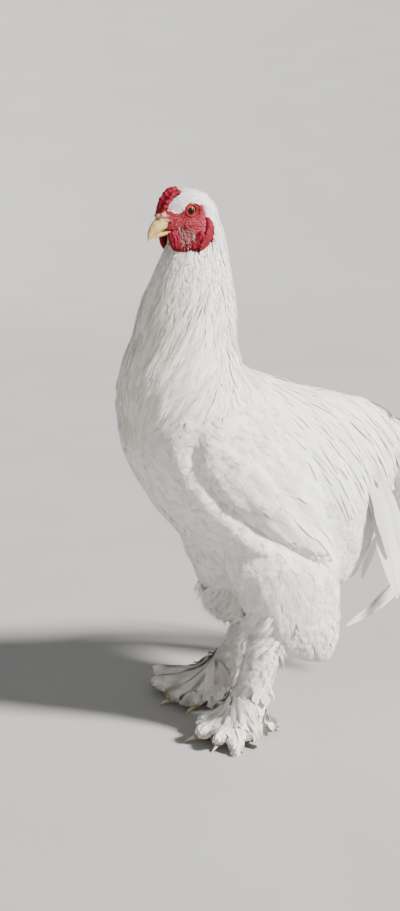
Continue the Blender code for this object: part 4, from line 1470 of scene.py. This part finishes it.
def coat_trunk(hull):
    """Rounded breast and flank feathers, back feathers, hanging saddle hackles and vent fluff."""
    names = ("feathers_breast", "feathers_back", "saddle_hackles", "vent_fluff")
    breast, back, saddle, vent = (Plumage(name) for name in names)
    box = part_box("trunk")
    roots = grown_roots(["trunk"], hull, 5.8 * MM)
    along, up = share_of(box, roots, 0), share_of(box, roots, 2)
    rear_low = (along > 0.55) & (up < 0.55 + 0.25 * (along - 0.55))
    top = (up > 0.86) | ((along > 0.35) & (up > 0.55))
    front = roots[~rear_low & ~top]
    vane = Vane(11, 0.93, 0.25, ROUND)
    lay(breast, hull, front, body_flow, vane, (21.0, 28.0), (15.0, 19.0), -2.9, 0.3, ragged=0.7)
    lay(breast, hull, front, body_flow, Tuft(6, 0.8, 0.07), (20.0, 32.0), (12.0, 20.0), -1.2, 0.9,
        ragged=1.2, splay=8.0, arch=0.0, clump=(14.0, 0.5))
    lay(back, hull, roots[top], body_flow, vane, (26.0, 34.0), (15.0, 19.0), -2.9, 0.0, ragged=0.7)
    lay(vent, hull, roots[rear_low], body_flow, Tuft(9, 0.9, 0.11), (26.0, 38.0), (16.0, 24.0),
        -2.6, 1.0, ragged=1.3, wrap=False, hug=0.7, splay=10.0, clump=(14.0, 0.6))
    lay(vent, hull, roots[rear_low], body_flow, Vane(9, 0.84, 0.3, ROUND), (24.0, 34.0), (17.0, 24.0),
        -2.9, 0.0, ragged=1.3, splay=12.0)

    def saddle_place(points, normals):
        share = share_of(box, points, 0)
        upper = (share_of(box, points, 2) > 0.62) & (normals[:, 2] > -0.2)
        return (share > 0.42) & (share < 0.99) & upper
    hanging = grown_roots(["trunk"], hull, 5.0 * MM, saddle_place)
    reach = ease(0.40, 0.75, share_of(box, hanging, 0))
    lengths = 55.0 + 50.0 * reach + 9.0 * RNG.normal(size=len(hanging))
    ridge = saddle_lock(hanging)[:, None]
    lay(saddle, hull, hanging, saddle_flow, Vane(17, 0.91, 0.16, LANCE), lengths, (6.5, 9.0),
        -1.6, SADDLE_LOW + SADDLE_RISE * ridge, stations=10, splay=3.0, ragged=0.8, arch=0.5, hug=0.8,
        stiff=0.7, clump=(12.0, 0.7))
    lay(back, hull, roots[top], saddle_flow, Vane(6, 0.95, 0.22, ROUND), (26.0, 36.0), (14.0, 19.0),
        -2.4, -0.8, splay=6.0, arch=0.3, ragged=0.6)
    return breast, back, saddle, vent


FLIGHT_SHOWN, FLIGHT_FIRST, FLIGHT_LAST, FLIGHT_PAST = 5, 0.17, 0.60, 4.0


def flight_roots(side, roots):
    """Where the flight feathers that show along a folded wing's lower edge leave the coat, lowest first."""
    along, over, whole = wing_places(roots, side)
    inside = (along > 0.50 * whole) & (along < 0.58 * whole)
    ranked = roots[inside][np.argsort(over[inside])]
    return ranked[(np.linspace(FLIGHT_FIRST, FLIGHT_LAST, FLIGHT_SHOWN) * len(ranked)).astype(int)]


def coat_wing(side, hull):
    """Coverts in three sizes over the long flight feathers of a folded wing."""
    piece = Plumage(f"feathers_wing_{side}")

    def grown(gap):
        roots = grown_roots([f"wing_{side}"], hull, gap * MM)
        along, over, whole = wing_places(roots, side)
        return roots, along, over - (along - 0.45 * whole) * 0.9, whole
    roots, along, _, whole = grown(9.0)
    lay(piece, hull, roots[along > 0.36 * whole], wing_flow, Vane(24, 0.95, 0.10, STRAP), (75.0, 105.0),
        (13.0, 16.0), -2.6, 0.2, stations=10, stiff=0.92, hug=0.8, splay=2.5, ragged=0.35, roll=0.04)
    edge = flight_roots(side, grown(3.0)[0])
    lengths = (whole - wing_places(edge, side)[0]) / MM + FLIGHT_PAST
    order = np.arange(len(edge))[:, None]
    lay(piece, hull, edge, wing_flow, Vane(28, 0.97, 0.08, STRAP), lengths, (15.0, 17.0),
        -3.4, 1.0 + 0.5 * order, stations=12, stiff=0.96, hug=0.7, splay=0.8, ragged=0.25, arch=1.3)
    roots, along, above, _ = grown(8.0)
    middle = roots[(along > 0.22 * whole) & (along < 0.62 * whole) & (above > -12 * MM)]
    lay(piece, hull, middle, wing_flow, Vane(14, 0.94, 0.16, ROUND), (36.0, 50.0), (13.0, 17.0), -2.2, 0.7,
        stiff=0.85, splay=4.0, ragged=0.5)
    roots, along, above, _ = grown(5.6)
    small = roots[(along < 0.50 * whole) & (above > -22 * MM)]
    lay(piece, hull, small, wing_flow, Vane(11, 0.93, 0.22, ROUND), (20.0, 28.0), (11.0, 14.0), -1.8, 0.7,
        splay=5.0, ragged=0.6)
    lay(piece, hull, small, wing_flow, Tuft(6, 0.8, 0.07), (24.0, 38.0), (11.0, 16.0), -0.8, 1.5,
        ragged=1.1, splay=6.0, arch=0.0, clump=(12.0, 0.5))
    return piece


def coat_thigh(side, hull):
    """Soft thigh feathers ending in loose fluff over the hock."""
    piece = Plumage(f"feathers_thigh_{side}")
    node = [f"thigh_{side}"]
    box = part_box(node[0])
    roots = grown_roots(node, hull, 5.8 * MM)
    lay(piece, hull, roots, thigh_flow, Vane(10, 0.88, 0.28, LANCE), (32.0, 44.0), (14.0, 19.0),
        -3.2, -0.5, ragged=1.1, splay=7.0, hug=0.8)
    lay(piece, hull, roots, thigh_flow, Tuft(9, 0.9, 0.085), (30.0, 44.0), (12.0, 18.0),
        -1.2, 1.1, ragged=1.3, splay=8.0, hug=0.85, arch=0.0, clump=(13.0, 0.6))
    low = roots[share_of(box, roots, 2) < 0.45]
    lay(piece, hull, low, thigh_flow, Tuft(11, 0.8, 0.10), (24.0, 36.0), (12.0, 20.0),
        -3.0, 3.0, ragged=1.5, splay=16.0, wrap=False, hug=0.45, clump=(10.0, 0.6))

    def loose_front(points, normals):
        height = share_of(box, points, 2)
        return (normals[:, 0] < -0.35) & (height > 0.12) & (height < 0.50)
    fringe = grown_roots(node, hull, 4.2 * MM, loose_front)
    lay(piece, hull, fringe, fringe_flow, Tuft(9, 0.8, 0.07), (22.0, 38.0), (9.0, 15.0),
        -2.0, 3.0, ragged=1.5, splay=16.0, wrap=False, hug=0.12, clump=(7.0, 0.7), stiff=0.9,
        lift=3.0 + 10.0 * RNG.random((len(fringe), 1)))
    return piece


SPAT_TOP = 0.55


def coat_shank(side, hull):
    """Short feathers down the shank, and longer ones that hang outward round its foot."""
    piece = Plumage(f"feathers_shank_{side}")
    node = f"shank_{side}"
    roots = grown_roots([node], hull, 4.6 * MM)
    lay(piece, hull, roots, shank_flow, Vane(9, 0.84, 0.30, ROUND), (17.0, 26.0), (9.0, 13.0), -2.4, 1.8,
        ragged=1.0, splay=9.0, arch=0.4)
    loose = roots[RNG.random(len(roots)) < 0.5]
    lay(piece, hull, loose, shank_flow, Tuft(7, 0.8, 0.10), (16.0, 26.0), (8.0, 13.0),
        -2.0, 4.2, ragged=1.4, splay=14.0, wrap=False, hug=0.6, clump=(8.0, 0.6))
    ankle = NODE_SURFACE[node].points.mean(0)

    def outward(points, normals):
        away = (points - ankle) * (1.0, 1.0, 0.0)
        return unit(unit(away) * 0.55 - (0.25, 0.0, 1.0))
    low = roots[share_of(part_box(node), roots, 2) < SPAT_TOP]
    lay(piece, hull, low, outward, Vane(12, 0.94, 0.2, ROUND), (26.0, 44.0), (10.0, 15.0), -2.0, 2.0,
        ragged=0.9, splay=10.0, wrap=False, hug=0.35, stiff=0.85, arch=1.2,
        lift=5.0 * RNG.random((len(low), 1)))
    return piece


FAN_SLOPE, FAN_OVERHANG, FAN_LONGEST, FAN_ROOM = 1.15, 8.0, 64.0, 9.0
RIM_SEEN = 0.16


def coat_foot(side):
    """Stiff feathers fanned over the toes and out over the floor."""
    piece = Plumage(f"feathers_foot_{side}")
    node = f"foot_feathers_{side}"
    hull = surface_of(fused("fan", [node_arrays(node)], FAN_VOXEL, 3))
    shank = NODE_SURFACE[f"shank_{side}"].points
    ankle = shank[shank[:, 2] < shank[:, 2].min() + 12 * MM].mean(0)

    def round_ankle(points):
        x, y, _ = (points - ankle).T
        return np.arctan2(y, x), np.hypot(x, y)
    rim = np.concatenate((NODE_SURFACE[node].points, NODE_SURFACE[f"foot_{side}"].points))
    rim_turn, rim_reach = round_ankle(rim)

    def outward(points, normals):
        return unit((points - ankle) * (1.0, 1.0, 0.0)) - 0.9 * UP

    def upper_side(points, normals):
        return normals[:, 2] > 0.05
    roots = grown_roots([node], hull, 4.2 * MM, upper_side)
    turn, reach = round_ankle(roots)
    gap = np.abs((turn[:, None] - rim_turn[None] + math.pi) % TURN - math.pi)
    room = (np.where(gap < RIM_SEEN, rim_reach[None], 0.0).max(1) - reach) / MM
    roots, room = roots[room > FAN_ROOM], room[room > FAN_ROOM]
    lengths = np.minimum(room * FAN_SLOPE + FAN_OVERHANG, FAN_LONGEST) * spread(len(roots), 0.72, 1.04)
    tint = np.clip(RNG.normal(0.10, 0.26, len(roots)), 0.0, 0.8)
    lay(piece, hull, roots, outward, Vane(17, 0.94, 0.16, STRAP), lengths, (9.0, 13.0),
        -0.4, 1.0, stations=9, stiff=0.8, hug=0.4, splay=11.0, ragged=0.8, wrap=False, arch=1.0, roll=0.10,
        tint=tint, lift=2.4 * RNG.random((len(roots), 1)) ** 2)
    return piece


def coat_tail(hull):
    """The drooping tail's main feathers over its core."""
    piece = Plumage("feathers_tail")
    flow = line_flow(centreline("tail"))
    roots = grown_roots(["tail"], hull, 8.0 * MM)
    lay(piece, hull, roots, flow, Vane(26, 0.955, 0.10, STRAP), (70.0, 115.0), (13.0, 18.0), -4.0, 0.6,
        stations=10, stiff=0.75, hug=0.85, splay=4.0, ragged=0.45, wrap=False)
    short = grown_roots(["tail"], hull, 7.0 * MM)
    lay(piece, hull, short, flow, Vane(12, 0.88, 0.2, LANCE), (40.0, 60.0), (10.0, 13.0), -2.0, 1.6,
        stiff=0.7, splay=7.0, ragged=0.8)
    return piece


SICKLE_SUNK, SICKLE_STATIONS, SICKLE_FINE = 9.0, 24, 200


def coat_sickle(node, copies):
    """A long curved tail feather with a few narrower ones nested along it."""
    piece = Plumage(f"feather_{node}")
    line = resampled(centreline(node), SICKLE_STATIONS)
    cloud = NODE_SURFACE[node].points
    heading = unit(np.gradient(line, axis=0))
    side = np.sign(box_middle(node)[1] - MIDLINE) * np.array((0.0, 1.0, 0.0))
    facing = flatten(np.repeat(side[None], len(line), 0), heading)
    across = np.cross(facing, heading)
    half = [np.abs(((cloud - p) @ a)[np.linalg.norm(cloud - p, axis=1) < 26 * MM]).max()
            for p, a in zip(line, across)]
    width = np.median(half) * 2.0
    for copy in range(copies):
        share = 1.0 if copy == 0 else 0.55 + 0.4 * RNG.random()
        shift = 0.0 if copy == 0 else RNG.normal() * width * 0.22
        cut = resampled(line, SICKLE_FINE)[:int(SICKLE_FINE * share)]
        spine = resampled(cut, SICKLE_STATIONS)[None] + across.mean(0) * shift
        breadth = width * (1.0 if copy == 0 else 0.55 + 0.25 * RNG.random())
        lift = (-1.0 if copy % 2 else 1.0) * (0.6 + 0.7 * copy)
        piece.add(spine, facing[None], Vane(80, 0.975, 0.05, SICKLE), np.array([breadth]),
                  lift - SICKLE_SUNK, lift, ragged=0.5, arch=1.6, roll=0.0)
    return piece


def place_piece(piece, node, material, stands_for=()):
    """Builds a plumage piece from its feathers, mapped round the node that carries it."""
    finished(piece.build(round_unwrap(node)), material, stands_for)


def build_coat():
    """Every feathered part."""
    feather = feather_material("feather", 46.0, 60.0, 0.25)
    quill = feather_material("quill_feather", 90.0, 110.0, 0.55)
    fluff = feather_material("fluff", 30.0, 30.0, 0.0)
    hull = coat_hull()
    head_hull = surface_of(fused("head_hull", [node_arrays("head"), node_arrays("neck")], HEAD_VOXEL, 3))
    place_piece(coat_head(head_hull), "head", fluff)
    place_piece(coat_cheek(head_hull), "head", bristle_material())
    for piece in coat_neck(hull, head_hull):
        place_piece(piece, "neck", feather)
    for piece, material in zip(coat_trunk(hull), (feather, feather, feather, fluff)):
        place_piece(piece, "trunk", material)
    for side in SIDES:
        place_piece(coat_wing(side, hull), f"wing_{side}", feather)
        place_piece(coat_thigh(side, hull), f"thigh_{side}", fluff)
        place_piece(coat_shank(side, hull), f"shank_{side}", feather)
        foot = f"foot_feathers_{side}"
        place_piece(coat_foot(side), foot, quill, [foot])
    place_piece(coat_tail(hull), "tail", quill, ["tail"])
    for node, copies in (("sickle_right", 4), ("sickle_left", 4), ("covert_right", 3), ("covert_left", 3)):
        place_piece(coat_sickle(node, copies), node, quill, [node])


# ---------------------------------------------------------------- studio

FLOOR_INNER, FLOOR_FLAT, FLOOR_BEND, FLOOR_RUN = (0.8, 1.6, 2.4), 3.0, 3.0, 8.0
FLOOR_SLOPE = math.radians(20.0)
FLOOR_AROUND, FLOOR_BEND_RINGS = 96, 13


def build_floor():
    """A wide pale floor that sweeps up all round into a backdrop."""
    turns = np.linspace(0.0, TURN, FLOOR_AROUND + 1)[:-1]
    bend = np.linspace(0.0, FLOOR_SLOPE, FLOOR_BEND_RINGS)
    reach = np.concatenate((FLOOR_INNER, FLOOR_FLAT + FLOOR_BEND * np.sin(bend)))
    rise = np.concatenate((np.zeros(len(FLOOR_INNER)), FLOOR_BEND * (1.0 - np.cos(bend))))
    reach = np.append(reach, reach[-1] + FLOOR_RUN * math.cos(FLOOR_SLOPE))
    rise = np.append(rise, rise[-1] + FLOOR_RUN * math.sin(FLOOR_SLOPE))
    rings = [rows_of(r * np.cos(turns), r * np.sin(turns), z) for r, z in zip(reach, rise)]
    middle = FLOOR_AROUND * len(rings)
    faces = [(middle, k, (k + 1) % FLOOR_AROUND) for k in range(FLOOR_AROUND)]
    faces += ring_triangles(len(rings), FLOOR_AROUND)
    floor = mesh_object("floor", np.concatenate((*rings, np.zeros((1, 3)))), np.array(faces))
    floor.data.shade_smooth()
    floor.data.materials.append(floor_material())


LIGHT_AIM, LIGHT_DISTANCE = Vector((0.0, 0.0, 0.40)), 2.6


def add_light(name, kind, energy, colour, azimuth, height, **settings):
    """A light aimed at the bird. Azimuth 0 is beside its left flank, 90 behind its tail."""
    data = bpy.data.lights.new(name, kind)
    data.energy = energy
    data.color = colour
    for key, value in settings.items():
        setattr(data, key, value)
    light = link_object(name, data)
    turn, rise = math.radians(azimuth), math.radians(height)
    back = Vector((math.sin(turn) * math.cos(rise), -math.cos(turn) * math.cos(rise), math.sin(rise)))
    light.location = LIGHT_AIM + back * LIGHT_DISTANCE
    light.rotation_mode = "QUATERNION"
    light.rotation_quaternion = back.to_track_quat("Z", "Y")


def build_light():
    """Soft key from above and behind the bird's left flank, weak fill and a pale surround."""
    add_light("key", "SUN", 13.0, (1.0, 0.985, 0.95), 48.0, 35.0, angle=math.radians(8.0))
    add_light("fill", "AREA", 5.0, (0.93, 0.96, 1.0), -50.0, 20.0, shape="DISK", size=2.0)
    world = bpy.data.worlds.new("studio")
    world.use_nodes = True
    background = world.node_tree.nodes["Background"]
    background.inputs["Color"].default_value = rgb(0.80, 0.82, 0.85)
    background.inputs["Strength"].default_value = 0.36
    bpy.context.scene.world = world


CAMERA_AT = Vector((-0.76467, -1.34463, 0.7617))
CAMERA_AZIMUTH_DEG, CAMERA_DOWN_DEG = -25.0, 15.0
CAMERA_LENS, FILM_LONG_SIDE = 31.61, 24.0


def build_camera():
    """A camera from the bird's left front, a little above its head."""
    data = bpy.data.cameras.new("camera")
    data.lens = CAMERA_LENS
    data.sensor_fit = "AUTO"
    data.sensor_width = FILM_LONG_SIDE
    camera = link_object("camera", data)
    camera.location = CAMERA_AT
    camera.rotation_euler = (math.radians(90.0 - CAMERA_DOWN_DEG), 0.0, math.radians(CAMERA_AZIMUTH_DEG))
    bpy.context.scene.camera = camera


def build_hard_parts():
    """Eyes, bill and claws."""
    eye = eye_material()
    bill = horn_material("bill_horn", rgb(0.63, 0.47, 0.17), rgb(0.38, 0.24, 0.08), 420.0)
    claw = horn_material("claw_horn", rgb(0.62, 0.52, 0.36), rgb(0.32, 0.23, 0.14), 900.0)
    for side in SIDES:
        build_eye(side, eye)
    build_horn("bill_top", ["bill_upper"], BILL_VOXEL, bill, cut_nostrils)
    build_horn("bill_bottom", ["bill_lower"], BILL_VOXEL, bill, close_bill)
    build_horn("claws", sorted(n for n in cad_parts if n.startswith("claw_")), CLAW_VOXEL, claw)


build_skin()
build_hard_parts()
build_coat()
build_floor()
build_light()
build_camera()
